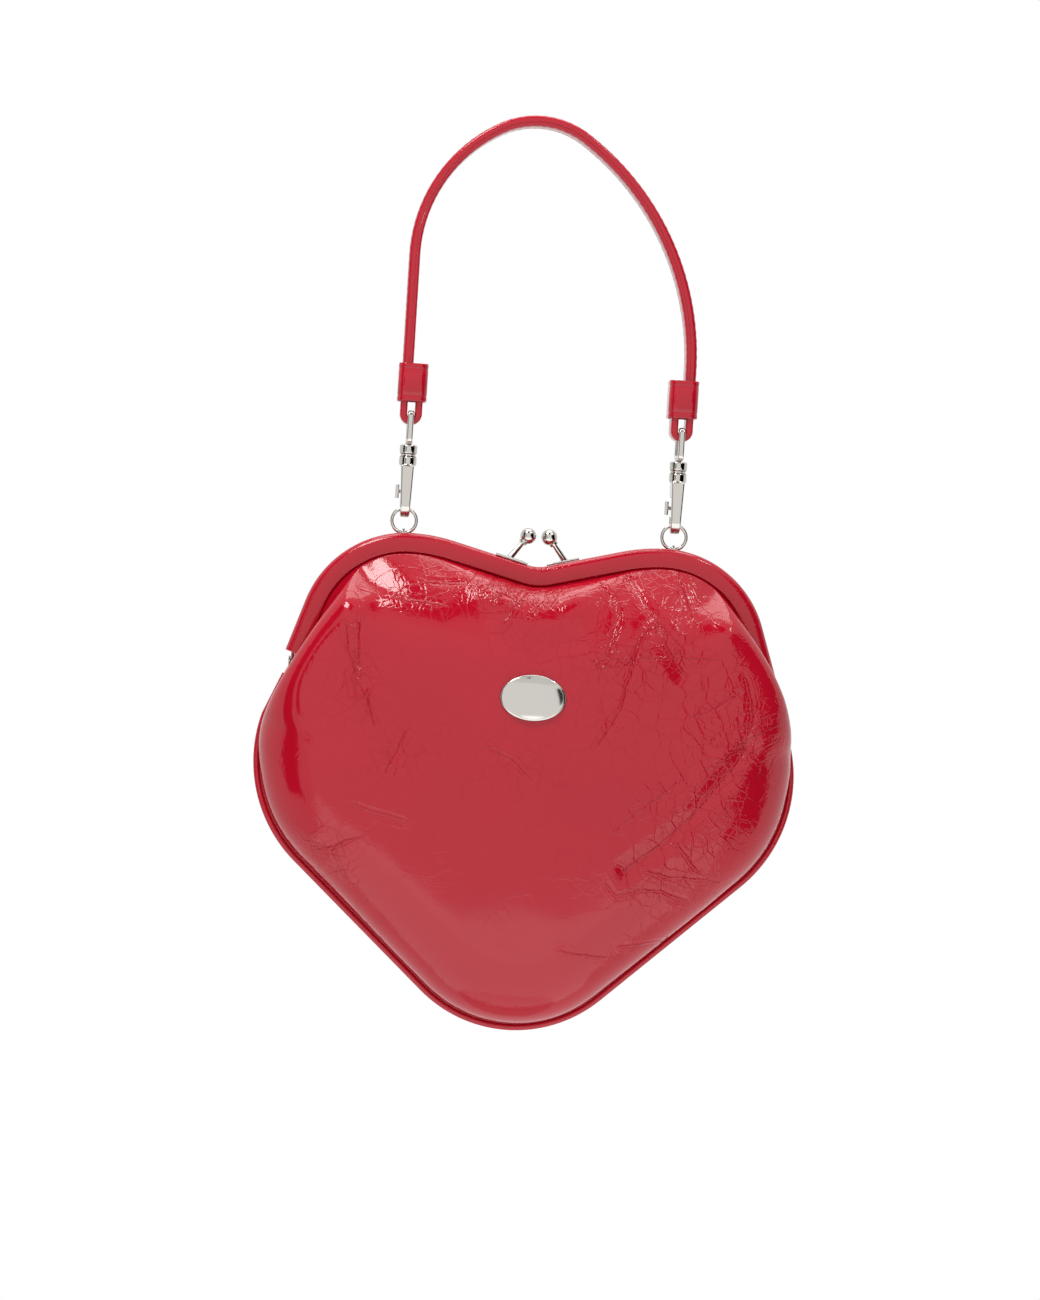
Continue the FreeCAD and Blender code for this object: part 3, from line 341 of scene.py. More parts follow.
def noise_over(x, v, size, seed):
    """Smooth noise from -1 to 1 with blots of a size in millimetres."""
    flat = [noise.noise(Vector((a / size, b / size, seed))) for a, b in zip(x.ravel(), v.ravel())]
    return np.array(flat).reshape(x.shape)


def crackle_over(x, v, size, seed):
    """Ridges along the borders of irregular cells, from 0 to 1."""
    lines = []
    for a, b in zip(x.ravel(), v.ravel()):
        near = noise.voronoi(Vector((a / size, b / size, seed)))[0]
        lines.append(near[1] - near[0])
    return np.exp(-(np.array(lines).reshape(x.shape) / CRACK_WIDTH) ** 2)


def crease_heights(form, side_seed, mirror):
    """How far the leather stands in or out of its smooth form, and marks for its finest lines."""
    x, v = mirror * form[:, :, 0], form[:, :, 2]
    wander = WANDER * noise_over(x, v, WANDER_SIZE, side_seed + 3)
    height = sum(rise * noise_over(x, v, size, side_seed + i) for i, (size, rise) in enumerate(SWELLS))
    near = np.full(x.shape, 1e3)
    beside_line = near.copy()
    for line, depth, width in CREASES:
        gap, signed = distance_to_line(x + wander, v + 0.7 * wander, line)
        bank = np.exp(-((gap - FOLD_BANK_AT * width) / width) ** 2)
        height += depth * (FOLD_BANK * bank - FOLD_SINK * np.exp(-(gap / width) ** 2))
        beside_line = np.where(gap < near, signed, beside_line)
        near = np.minimum(near, gap)
    patch = CRACKLE_ALL_OVER + CRACKLE_BY_CREASE * np.exp(-(near / CRACKLE_REACH) ** 2)
    for px, pv, reach, strength in CRACKLE:
        patch += strength * np.exp(-((x - px) ** 2 + (v - pv) ** 2) / reach ** 2)
    patch = np.minimum(patch, 1)
    large = crackle_over(x + wander, v - wander, CRACKLE_CELL, side_seed + 5)
    edge = np.ones(form.shape[:2])
    edge[:TURN_RINGS] = np.linspace(0, 1, TURN_RINGS)[:, None] ** 2
    marks = {"crease_near": near, "crease_side": beside_line, "crackle": patch}
    return (height + CRACKLE_RISE * patch * large) * edge, marks


def linear(colour):
    """An sRGB hex colour as linear RGBA."""
    parts = [int(colour[i:i + 2], 16) / 255 for i in (1, 3, 5)]
    return [c / 12.92 if c <= 0.04045 else ((c + 0.055) / 1.055) ** 2.4 for c in parts] + [1.0]


def connect(tree, node, inputs):
    """Link or set inputs of a node."""
    for socket, value in inputs.items():
        if isinstance(value, bpy.types.NodeSocket):
            tree.links.new(value, node.inputs[socket])
        else:
            node.inputs[socket].default_value = value


def add(tree, kind, settings, inputs):
    """Add a node, set its options and link or set its inputs."""
    node = tree.nodes.new(kind)
    for name, value in settings.items():
        setattr(node, name, value)
    connect(tree, node, inputs)
    return node


def new_material(name):
    material = bpy.data.materials.new(name)
    material.use_nodes = True
    return material, material.node_tree, material.node_tree.nodes["Principled BSDF"]


def own_place(tree):
    """The place on the piece, in metres."""
    return add(tree, "ShaderNodeTexCoord", {}, {}).outputs["Object"]


def blots(tree, where, size, detail):
    """Noise with blots of a size in millimetres."""
    inputs = {"Vector": where, "Scale": 1 / (size * MM), "Detail": detail}
    return add(tree, "ShaderNodeTexNoise", {}, inputs).outputs


def mapped(tree, value, ends):
    """A value carried from one range into another."""
    return add(tree, "ShaderNodeMapRange", {}, {"Value": value, **ends}).outputs[0]


def combined(tree, operation, *values):
    """The outcome of an operation on values."""
    return add(tree, "ShaderNodeMath", {"operation": operation}, dict(enumerate(values))).outputs[0]


def mixed(tree, factor, first, second):
    """A colour between two others."""
    inputs = {"Factor": factor, 6: first, 7: second}
    return add(tree, "ShaderNodeMix", {"data_type": "RGBA"}, inputs).outputs[2]


def bumped(tree, height, strength, depth):
    """The normal of a relief with a depth in millimetres."""
    inputs = {"Height": height, "Strength": strength, "Distance": depth * MM}
    return add(tree, "ShaderNodeBump", {}, inputs).outputs["Normal"]


def fine_lines(tree, distance, reach):
    """One along the zero of a distance, falling to nothing at a reach."""
    away = combined(tree, "ABSOLUTE", distance)
    return mapped(tree, away, {"From Min": 0.0, "From Max": reach, "To Min": 1.0, "To Max": 0.0})


def cell_lines(tree, where, size, reach):
    """Lines along the borders of irregular cells of a size in millimetres."""
    cells = add(tree, "ShaderNodeTexVoronoi", {"feature": "DISTANCE_TO_EDGE"},
                {"Vector": where, "Scale": 1 / (size * MM)})
    return fine_lines(tree, cells.outputs["Distance"], reach)


def mark(tree, name):
    """A value that is stored with the points of a wall."""
    return add(tree, "ShaderNodeAttribute", {"attribute_name": name}, {}).outputs["Fac"]


CELL_WARP = 6.0
WARP_BLOT = 14
LARGE_CELL = 7.0
LARGE_CRACK = 0.05
SMALL_CELL = 3.2
SMALL_CRACK = 0.08
SMALL_SHARE = 0.5
BREAK_BLOT = 22
TONE_BLOT = 40
GRAIN_BLOT = 1.6
GRAIN_SHARE = 0.1
CREASE_WAVER = 1.6
WAVER_BLOT = 4
FOLD_LINE = 0.5
FOLD_REACH = 3.0
FOLD_HEIGHT = 2.0
RIPPLE_RATE = 4.2
RIPPLE_REACH = 4.0
RIPPLE_HEIGHT = 0.35
BREAK_SHARE = 0.3
# How strongly painted shade darkens the folds and the cracks
FOLD_SHADE = 0.3
CRACK_SHADE = 0.2
FILM_ROUGHNESS = 0.11
FILM_IOR = 1.45


def patent_leather(name, colour, deep, crackle, creased=False):
    """Leather under a hard clear film: a deep colour, a sharp reflection, fine random crackle, and on a
    creased wall painted shade along its folds and cracks.
    """
    material, tree, shader = new_material(name)
    where = own_place(tree)
    drift = blots(tree, where, WARP_BLOT, 2.0)["Color"]
    warped = add(tree, "ShaderNodeVectorMath", {"operation": "MULTIPLY_ADD"},
                 {0: drift, 1: (CELL_WARP * MM,) * 3, 2: where}).outputs[0]
    small = cell_lines(tree, warped, SMALL_CELL, SMALL_CRACK)
    large = cell_lines(tree, warped, LARGE_CELL, LARGE_CRACK)
    both = combined(tree, "MULTIPLY_ADD", small, SMALL_SHARE, large)
    broken = blots(tree, where, BREAK_BLOT, 3.0)["Fac"]
    broken = mapped(tree, broken, {"From Min": 0.46, "From Max": 0.66})
    body = mixed(tree, blots(tree, where, TONE_BLOT, 4.0)["Fac"], linear(colour), linear(deep))
    if creased:
        waver = blots(tree, where, WAVER_BLOT, 3.0)["Fac"]
        shifted = combined(tree, "MULTIPLY_ADD", waver, CREASE_WAVER, mark(tree, "crease_side"))
        shifted = combined(tree, "SUBTRACT", shifted, CREASE_WAVER / 2)
        near = mark(tree, "crease_near")
        folded = combined(tree, "MULTIPLY", fine_lines(tree, shifted, FOLD_LINE),
                          fine_lines(tree, near, FOLD_REACH))
        ripples = combined(tree, "SINE", combined(tree, "MULTIPLY", shifted, RIPPLE_RATE))
        ripples = combined(tree, "MULTIPLY", ripples, fine_lines(tree, near, RIPPLE_REACH))
        amount = combined(tree, "MULTIPLY_ADD", broken, BREAK_SHARE, mark(tree, "crackle"))
        cracks = combined(tree, "MULTIPLY", both, amount)
        lines = combined(tree, "MULTIPLY_ADD", folded, FOLD_HEIGHT, cracks)
        lines = combined(tree, "MULTIPLY_ADD", ripples, RIPPLE_HEIGHT, lines)
        # Painted shade: the colour is drawn towards a deeper red along the folds and cracks, and the
        # clear film is thinned there by the same share
        crease_shade = combined(tree, "MULTIPLY", cracks, CRACK_SHADE)
        crease_shade = combined(tree, "MULTIPLY_ADD", folded, FOLD_SHADE, crease_shade)
        body = mixed(tree, crease_shade, body, linear(CREASE_SHADE_RED))
        film = combined(tree, "SUBTRACT", 1.0, crease_shade)
    else:
        lines = combined(tree, "MULTIPLY", both, broken)
        film = 1.0
    grain = blots(tree, where, GRAIN_BLOT, 3.0)["Fac"]
    height = combined(tree, "MULTIPLY_ADD", grain, GRAIN_SHARE, lines)
    normal = bumped(tree, height, 1.0, crackle)
    connect(tree, shader, {"Base Color": body, "Roughness": 0.45, "Specular IOR Level": 0.0,
                           "Normal": normal, "Coat Normal": normal, "Coat Weight": film,
                           "Coat Roughness": FILM_ROUGHNESS, "Coat IOR": FILM_IOR})
    return material


def start_clean():
    if bpy.context.object and bpy.context.object.mode == "EDIT":
        bpy.ops.object.mode_set(mode="OBJECT")
    bpy.ops.object.select_all(action="DESELECT")


def edit_all():
    """Open the active piece for editing, with all of it selected."""
    bpy.ops.object.mode_set(mode="EDIT")
    bpy.ops.mesh.select_all(action="SELECT")


def edit_done():
    bpy.ops.object.mode_set(mode="OBJECT")


def tidy_faces(merge):
    """Merge doubled points of the active piece and point its faces outwards."""
    edit_all()
    bpy.ops.mesh.remove_doubles(threshold=merge * MM)
    bpy.ops.mesh.normals_make_consistent(inside=False)
    edit_done()


def apply_modifier(piece, kind, **settings):
    modifier = piece.modifiers.new(kind.lower(), kind)
    for name, value in settings.items():
        setattr(modifier, name, value)
    bpy.ops.object.modifier_apply(modifier=modifier.name)


def shell_from(name, surface, thickness, front, marks):
    """A sheet of points made into a closed shell that is sewn shut at its crown."""
    rings, stations = surface.shape[:2]
    start_clean()
    bpy.ops.mesh.primitive_grid_add(x_subdivisions=stations, y_subdivisions=rings - 1, size=1)
    piece = bpy.context.object
    piece.name = name
    closed = np.concatenate([surface, surface[:, :1]], 1)
    side = -1 if front else 1
    points = np.stack([closed[..., 0], side * closed[..., 1], closed[..., 2] + DIP_Z], 2) * MM
    piece.data.vertices.foreach_set("co", points.astype(np.float32).ravel())
    for mark_name, values in marks.items():
        layer = piece.data.attributes.new(mark_name, "FLOAT", "POINT")
        around = np.concatenate([values, values[:, :1]], 1)
        layer.data.foreach_set("value", around.astype(np.float32).ravel())
    piece.data.update()
    tidy_faces(0.002)
    middle = max(piece.data.polygons, key=lambda face: abs(face.center.y))
    if (middle.normal.y < 0) != front:
        edit_all()
        bpy.ops.mesh.flip_normals()
        edit_done()
    apply_modifier(piece, "SOLIDIFY", thickness=thickness * MM, offset=-1)
    bpy.ops.object.shade_smooth()
    return piece


def displaced(form, height):
    """Move each point of a sheet along its own normal."""
    along = np.roll(form, -1, 1) - np.roll(form, 1, 1)
    across = np.gradient(form, axis=0)
    normal = np.cross(across, along)
    size = np.linalg.norm(normal, axis=2, keepdims=True)
    normal = np.where(size > 1e-9, normal / np.maximum(size, 1e-9), np.array((0, 1, 0)))
    normal *= np.sign(normal[..., 1].mean())
    return form + normal * height[..., None]


RED = "#C40E2A"
DEEP_RED = "#B80A24"
# The deeper red that is painted into folds and cracks as their shade
CREASE_SHADE_RED = "#960A1E"
wall_leather = patent_leather("crinkled_patent_leather", RED, DEEP_RED, 0.08, creased=True)
wall = wall_form(0.0, CROWN_DEPTH, 1)
for face, seed, mirror in (("front", 11.0, 1), ("back", 71.0, -1)):
    heights, marks = crease_heights(wall, seed, mirror)
    piece = shell_from(face + "_wall", displaced(wall, heights), WALL_LEATHER, face == "front", marks)
    piece.data.materials.append(wall_leather)
    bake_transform(piece)
    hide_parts(face + "_panel")

# Piping round the seam: a cord covered in the same leather, with the flange that both walls are
# sewn to. It starts just under each hinge, tucked in behind the wall, and runs down to the tip.
PIPING_FLANGE = 6.0
PIPING_FLANGE_HALF = 0.3
PIPING_TUCK = 2.0
SPIN_STEP = 2.5


def carried(name, profile, path, base_v):
    """Draw a closed profile of (outward, depth) points at a path's start and carry it along."""
    x, v, heading, runs = path
    start_clean()
    bpy.ops.mesh.primitive_circle_add(vertices=len(profile), radius=MM)
    piece = bpy.context.object
    piece.name = name
    turn = math.radians(heading)
    for vertex, (out, depth) in zip(piece.data.vertices, profile):
        vertex.co = Vector((x - out * math.sin(turn), depth, v + base_v + out * math.cos(turn))) * MM
    edit_all()
    reached = 0.0
    for length, degrees in runs:
        px, pv, heading = place_on(path, reached) if reached else path[:3]
        turn = math.radians(heading)
        if degrees:
            radius = length / math.radians(degrees)
            centre = Vector((px - radius * math.sin(turn), 0, pv + base_v + radius * math.cos(turn)))
            steps = max(4, round(abs(degrees) / SPIN_STEP))
            bpy.ops.mesh.spin(steps=steps, angle=math.radians(degrees), center=centre * MM,
                              axis=(0, 1, 0))
        else:
            ahead = Vector((math.cos(turn), 0, math.sin(turn))) * length * MM
            bpy.ops.mesh.extrude_region_move(TRANSFORM_OT_translate={"value": ahead})
        reached += length
    edit_done()
    return piece


def closed_up(piece, mirrored):
    """Mirror the active half where asked, close its ends and smooth it."""
    if mirrored:
        apply_modifier(piece, "MIRROR", use_axis=(True, False, False), merge_threshold=0.02 * MM)
    edit_all()
    bpy.ops.mesh.remove_doubles(threshold=0.005 * MM)
    bpy.ops.mesh.fill_holes(sides=0)
    bpy.ops.mesh.select_all(action="SELECT")
    bpy.ops.mesh.normals_make_consistent(inside=False)
    edit_done()
    bpy.ops.object.shade_smooth_by_angle(angle=math.radians(40))
    return piece


cord_round = [(PIPING_RADIUS * (math.cos(a) - 1), PIPING_RADIUS * math.sin(a))
              for a in np.radians(np.arange(-160, 161, 20))]
flange_edge = [(-PIPING_FLANGE, PIPING_FLANGE_HALF), (-PIPING_FLANGE, -PIPING_FLANGE_HALF)]
piping = closed_up(carried("piping_cord", cord_round + flange_edge, SEAM, DIP_Z), True)
for vertex in piping.data.vertices:
    x, v = abs(vertex.co.x) / MM, vertex.co.z / MM - DIP_Z
    below = (x - flank_x) * math.sin(splay) + (flank_v - v) * math.cos(splay)
    if below < 1:
        vertex.co.x -= math.copysign(PIPING_TUCK * math.cos(splay) * MM, vertex.co.x)
        vertex.co.z -= PIPING_TUCK * math.sin(splay) * MM
piping.data.materials.append(patent_leather("smooth_patent_leather", RED, DEEP_RED, 0.05))
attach(piping, "pouch")
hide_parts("piping")

# Plain lining of dark red twill: a lower bowl sewn in with the seam and an upper facing held in the
# channel. Both are one cloth bag to the eye, so each side is one shell that hangs inside its wall.
LINING_CLOTH = 0.7
LINING_INSET = 2.2
LINING_SINK = 3.0
TWILL_PITCH = 0.9


def lining_twill(name, colour, thread):
    """Woven lining: fine diagonal ribs with a soft sheen."""
    material, tree, shader = new_material(name)
    where = own_place(tree)
    turned = add(tree, "ShaderNodeMapping", {},
                 {"Vector": where, "Rotation": (0.0, math.radians(45), 0.0)}).outputs[0]
    weave = {"Vector": turned, "Scale": math.pi / 10 / (TWILL_PITCH * MM), "Distortion": 0.6}
    ribs = add(tree, "ShaderNodeTexWave", {"bands_direction": "X"}, weave).outputs["Fac"]
    height = combined(tree, "MULTIPLY_ADD", blots(tree, where, 5, 4.0)["Fac"], 0.5, ribs)
    connect(tree, shader, {"Base Color": mixed(tree, ribs, linear(colour), linear(thread)),
                           "Normal": bumped(tree, height, 0.6, 0.2), "Roughness": 0.75,
                           "Sheen Weight": 0.1, "Sheen Tint": linear(thread)})
    return material


lining_cloth = lining_twill("dark_red_lining_twill", "#6A0E18", "#8A1622")
lining_sheet = wall_form(LINING_INSET, CROWN_DEPTH - LINING_SINK, 0)[:, ::2]
for face in ("front", "back"):
    piece = shell_from(face + "_lining_bag", lining_sheet, LINING_CLOTH, face == "front", {})
    piece.data.materials.append(lining_cloth)
    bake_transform(piece)
    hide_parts(face + "_lining", face + "_facing")

# Frame: two pressed steel channels, each wrapped in the pouch's leather, which is rolled over the
# outer edge and turned in at the mouth. A paper cord wedges wall and lining inside the channel.
FRAME_DEPTH = 6.2
FRAME_EDGE_RADIUS = 2.8
HALF_GAP = 0.2
COVER_LEATHER = 0.9
# Where the cover's face is fuller than flat: distance from the outer edge and height
COVER_FULLNESS = [(3.6, 0.12), (5.0, 0.08)]


def corner_arc(out, depth, radius, start, end, count):
    """Points of a rounded corner of a profile, by angles from outward towards depth."""
    return [(out + radius * math.cos(a), depth + radius * math.sin(a))
            for a in np.radians(np.linspace(start, end, count))]


near = HALF_GAP
far = HALF_GAP + FRAME_DEPTH
lip = COVER_LEATHER / 2
cover_profile = corner_arc(-FRAME_BAND + lip, near + lip, lip, 180, 270, 4)
cover_profile += corner_arc(-FRAME_EDGE_RADIUS, near + FRAME_EDGE_RADIUS, FRAME_EDGE_RADIUS, -90, 0, 7)
cover_profile += corner_arc(-FRAME_EDGE_RADIUS, far - FRAME_EDGE_RADIUS, FRAME_EDGE_RADIUS, 0, 90, 8)
cover_profile += [(-place, far + full) for place, full in COVER_FULLNESS]
cover_profile += corner_arc(-FRAME_BAND + lip, far - lip, lip, 90, 180, 4)
cover_profile += [(-FRAME_BAND, far - COVER_LEATHER), (-COVER_LEATHER, far - COVER_LEATHER),
                  (-COVER_LEATHER, near + COVER_LEATHER), (-FRAME_BAND, near + COVER_LEATHER)]
cover_leather = patent_leather("drawn_patent_leather", RED, DEEP_RED, 0.05)
for face, side in (("front", -1), ("back", 1)):
    profile = [(out, side * depth) for out, depth in cover_profile]
    piece = closed_up(carried(face + "_frame_leather", profile, ARCH, DIP_Z), True)
    piece.data.materials.append(cover_leather)
    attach(piece, face + "_frame")
    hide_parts(face + "_frame_cover")


def plated_metal(name, colour, grain, detail, roughness, relief):
    """Plated metal: marks with a grain in millimetres vary its roughness and stand out as a relief."""
    material, tree, shader = new_material(name)
    marks = blots(tree, own_place(tree), grain, detail)["Fac"]
    dullness = mapped(tree, marks, {"To Min": roughness[0], "To Max": roughness[1]})
    connect(tree, shader, {"Base Color": linear(colour), "Metallic": 1.0, "Roughness": dullness,
                           "Normal": bumped(tree, marks, *relief)})
    return material


def fibrous(name, colour, fibre, grain, detail, roughness):
    """Paper or thread: two tones in fibres with a grain in millimetres."""
    material, tree, shader = new_material(name)
    tone = blots(tree, own_place(tree), grain, detail)["Fac"]
    connect(tree, shader, {"Base Color": mixed(tree, tone, linear(colour), linear(fibre)),
                           "Roughness": roughness})
    return material


channel_steel = plated_metal("plated_channel_steel", "#B4B2AE", 0.8, 3.0, (0.22, 0.4), (0.3, 0.03))
cord_paper = fibrous("twisted_paper", "#B99F78", "#8F7650", 0.6, 5.0, 0.9)


def dress(node, material):
    """Give a CAD node its finish."""
    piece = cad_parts[node]
    piece.data.materials.clear()
    piece.data.materials.append(material)


for face in ("front", "back"):
    dress(face + "_frame", channel_steel)
    dress(face + "_packing_cord", cord_paper)

# Nickel hardware: hinge pins, kiss lock, lugs and rings, swivel eyes, snap hooks and gates, and the
# plain badge. Cast or turned, polished and plated, so every edge is slightly rounded.
NICKEL_EDGE = 0.22
FINE_EDGE = 0.15
PIN_EDGE = 0.1
HOOK_EDGE = 0.55
BADGE_EDGE = 1.2
BADGE_CROWN = 1.6
BADGE_ROUND = 0.08
BADGE_FOOT = 0.2
BADGE_SEAT = 0.5
BADGE_POINTS = 96
PRONG_RADIUS = 0.6
PRONG_SPACING = 12.0
PRONG_LENGTH = 2.0

nickel = plated_metal("polished_nickel", "#BFBBB5", 2.2, 4.0, (0.05, 0.14), (0.15, 0.04))


def softened(node, edge):
    """A copy of a CAD piece with its edges rounded as a casting's are."""
    start_clean()
    piece = bpy.data.objects.new(node + "_cast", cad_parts[node].data.copy())
    bpy.context.scene.collection.objects.link(piece)
    bpy.context.view_layer.objects.active = piece
    piece.select_set(True)
    tidy_faces(0.001)
    edit_all()
    bpy.ops.mesh.dissolve_limited(angle_limit=math.radians(1))
    edit_done()
    if edge:
        apply_modifier(piece, "BEVEL", width=edge * MM, segments=3, limit_method="ANGLE",
                       angle_limit=math.radians(35), use_clamp_overlap=edge < HOOK_EDGE)
        edit_all()
        bpy.ops.mesh.dissolve_degenerate(threshold=0.002 * MM)
        edit_done()
    bpy.ops.object.shade_smooth_by_angle(angle=math.radians(38))
    piece.data.materials.clear()
    piece.data.materials.append(nickel)
    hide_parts(node)
    return piece


for face in ("front", "back"):
    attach(softened(face + "_clasp", FINE_EDGE), face + "_frame")
    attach(softened(face + "_clasp_base", NICKEL_EDGE), face + "_frame")
for side in ("left", "right"):
    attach(softened(side + "_hinge_pin", NICKEL_EDGE), "back_frame")
    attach(softened(side + "_ring_lug", FINE_EDGE), "back_frame")
    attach(softened(side + "_ring", 0), side + "_ring")
    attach(softened(side + "_swivel_eye", FINE_EDGE), side + "_eye")
    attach(softened(side + "_hook", HOOK_EDGE), side + "_hook")
    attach(softened(side + "_gate", NICKEL_EDGE), side + "_gate")
    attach(softened(side + "_gate_pin", PIN_EDGE), side + "_hook")

cad_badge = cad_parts["badge"].data
flat_back = max(cad_badge.polygons, key=lambda face: (round(face.normal.y, 3), face.area))
outward = -flat_back.normal
upward = Vector((1, 0, 0)).cross(outward)
rim = [v.co for v in cad_badge.vertices if abs((v.co - flat_back.center).dot(outward)) < 0.01 * MM]
half_length = max(point.x for point in rim)
rim_heights = [point.dot(upward) for point in rim]
half_height = (max(rim_heights) - min(rim_heights)) / 2
rim_middle = upward * (max(rim_heights) + min(rim_heights)) / 2 + outward * flat_back.center.dot(outward)
# The badge lies on the leather, as flat as the creased wall under it
under = np.array([v.co for v in bpy.data.objects["front_wall"].data.vertices
                  if (v.co.x / half_length) ** 2 + ((v.co.z - rim_middle.z) / half_height) ** 2 < 1])
outward = Vector((0, -1, np.polyfit(under[:, 2], under[:, 1], 1)[0])).normalized()
upward = Vector((1, 0, 0)).cross(outward)
seat = (under @ np.array(outward)).max() - BADGE_SEAT * MM
badge_middle = upward * rim_middle.dot(upward) + outward * seat
dome_end = 1 - BADGE_ROUND
badge_profile = [(share, BADGE_EDGE + BADGE_CROWN * (1 - share ** 2))
                 for share in np.linspace(0, dome_end, 14)]
rim_top = badge_profile[-1][1] - BADGE_FOOT
badge_profile += [(dome_end + BADGE_ROUND * math.sin(a), BADGE_FOOT + rim_top * math.cos(a))
                  for a in np.radians(np.linspace(15, 90, 8))]
badge_profile += [(1.0, 0.0), (0.0, 0.0)]
start_clean()
bpy.ops.mesh.primitive_grid_add(x_subdivisions=BADGE_POINTS, y_subdivisions=len(badge_profile) - 1,
                                size=1)
badge = bpy.context.object
badge.name = "badge_oval"
places = [badge_middle + Vector((1, 0, 0)) * half_length * share * math.cos(a)
          + upward * half_height * share * math.sin(a) + outward * lift * MM
          for share, lift in badge_profile for a in np.linspace(0, 2 * math.pi, BADGE_POINTS + 1)]
for vertex, point in zip(badge.data.vertices, places):
    vertex.co = point
tidy_faces(0.002)
prongs = []
prong_turn = outward.to_track_quat("Z", "Y").to_euler()
for sign in (-1, 1):
    foot = badge_middle + Vector((sign * PRONG_SPACING / 2 * MM, 0, 0)) - outward * PRONG_LENGTH / 2 * MM
    bpy.ops.mesh.primitive_cylinder_add(vertices=16, radius=PRONG_RADIUS * MM, depth=PRONG_LENGTH * MM,
                                        location=foot, rotation=prong_turn)
    prongs.append(bpy.context.object)
start_clean()
for piece in prongs + [badge]:
    piece.select_set(True)
bpy.context.view_layer.objects.active = badge
bpy.ops.object.join()
bpy.ops.object.shade_smooth_by_angle(angle=math.radians(50))
badge.data.materials.append(nickel)
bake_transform(badge)
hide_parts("badge")

# Leather keepers: a strip of the pouch's leather wrapped round the folded strap ends, with a line
# pressed in near each edge.
STRAP_WIDTH = 11.0
STRAP_OUTER = 2.3
STRAP_LINING = 1.5
LEG_SPACING = 103.0
LEFT_BEND_RADIUS = 54.0
TOP_BEND_RADIUS = 30.0
LEFT_BEND_END = 28.0
TOP_BEND_END = -34.0
FOLD_THICKNESS = 2.6
FOLD_INNER = 1.4
FOLD_EDGE = 0.6
FOLD_TOP = 0.4
EYE_BAR = 2.2
KEEPER_WALL = 1.2
KEEPER_CORNER = 3.0
STRAP_THICKNESS = STRAP_OUTER + STRAP_LINING
keeper_low, keeper_high = (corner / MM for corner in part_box("right_keeper"))
keeper_x = (keeper_low.x + keeper_high.x) / 2
keeper_half_x = (keeper_high.x - keeper_low.x) / 2
keeper_half_y = keeper_high.y
keeper_rise = keeper_high.z - keeper_low.z
keeper_leather = patent_leather("pressed_patent_leather", RED, DEEP_RED, 0.05)
# Rise of each step from the lower edge to the middle, and the size of the loop there
PRESSED_LINE = [(0.0, 0.975), (0.25, 1.0), (1.3, 1.0), (0.2, 0.98), (0.4, 0.98), (0.2, 1.0)]


def rounded_box(half_x, half_y, radius, points, first):
    """A closed outline with round corners, starting with the corner at a first angle."""
    outline = []
    for angle in range(first, first + 360, 90):
        towards = math.radians(angle + 45)
        x = math.copysign(half_x - radius, math.cos(towards))
        y = math.copysign(half_y - radius, math.sin(towards))
        outline += corner_arc(x, y, radius, angle, angle + 90, points)
    return outline


half_steps = sum(step[0] for step in PRESSED_LINE)
keeper_steps = PRESSED_LINE + [(keeper_rise - 2 * half_steps, 1.0)]
for (rise, _), (_, size) in zip(PRESSED_LINE[:0:-1], PRESSED_LINE[-2::-1]):
    keeper_steps.append((rise, size))
for side, sign in (("left", -1), ("right", 1)):
    start_clean()
    bpy.ops.mesh.primitive_circle_add(vertices=40, radius=MM)
    piece = bpy.context.object
    piece.name = side + "_keeper_loop"
    outline = rounded_box(keeper_half_x, keeper_half_y, KEEPER_CORNER, 10, 0)
    size = keeper_steps[0][1]
    middle = Vector((sign * keeper_x, 0, keeper_low.z)) * MM
    for vertex, (x, y) in zip(piece.data.vertices, outline):
        vertex.co = middle + Vector((x, y, 0)) * size * MM
    edit_all()
    for rise, target_size in keeper_steps[1:]:
        bpy.ops.mesh.extrude_region_move(TRANSFORM_OT_translate={"value": (0, 0, rise * MM)})
        middle.z += rise * MM
        ratio = target_size / size
        bpy.ops.transform.resize(value=(ratio, ratio, 1), center_override=middle)
        size = target_size
    edit_done()
    tidy_faces(0.005)
    apply_modifier(piece, "SOLIDIFY", thickness=KEEPER_WALL * MM, offset=-1)
    bpy.ops.object.shade_smooth_by_angle(angle=math.radians(50))
    piece.data.materials.append(keeper_leather)
    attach(piece, "handle")
    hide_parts(side + "_keeper")

# Strap: an outer leather and a lining leather glued and stitched together along both edges. The
# outer leather runs on below the keepers, skived thinner, and folds round the eye of each hook.
STRAP_EDGE = 1.1
STRAP_CROWN = 0.15
BACKING_EDGE = 0.7
BACKING_CROWN = 0.1
BACKING_NARROWER = 0.15
BACKING_CLEAR = 0.15
GLUE = 0.05
SEWN_DIP = 0.12
SEWN_INSET = 1.5
leg_x = LEG_SPACING / 2
sin_left = math.sin(math.radians(LEFT_BEND_END))
sin_top = math.sin(math.radians(TOP_BEND_END))
left_run = LEFT_BEND_RADIUS * (1 - sin_left)
top_run = TOP_BEND_RADIUS * (sin_left - sin_top)
right_bend_radius = (LEG_SPACING - left_run - top_run) / (1 + sin_top)
top_x = -leg_x + left_run + TOP_BEND_RADIUS * sin_left
top_z = -math.sqrt((TOP_BEND_RADIUS - STRAP_THICKNESS / 2) ** 2 - top_x ** 2)
left_bend_z = top_z + (TOP_BEND_RADIUS - LEFT_BEND_RADIUS) * math.cos(math.radians(LEFT_BEND_END))
right_bend_z = top_z + (TOP_BEND_RADIUS - right_bend_radius) * math.cos(math.radians(TOP_BEND_END))


def strap_path(end_z):
    return (-leg_x, end_z, 90, [(left_bend_z - end_z, 0), bend(LEFT_BEND_RADIUS, LEFT_BEND_END - 90),
                                bend(TOP_BEND_RADIUS, TOP_BEND_END - LEFT_BEND_END),
                                bend(right_bend_radius, -90 - TOP_BEND_END), (right_bend_z - end_z, 0)])


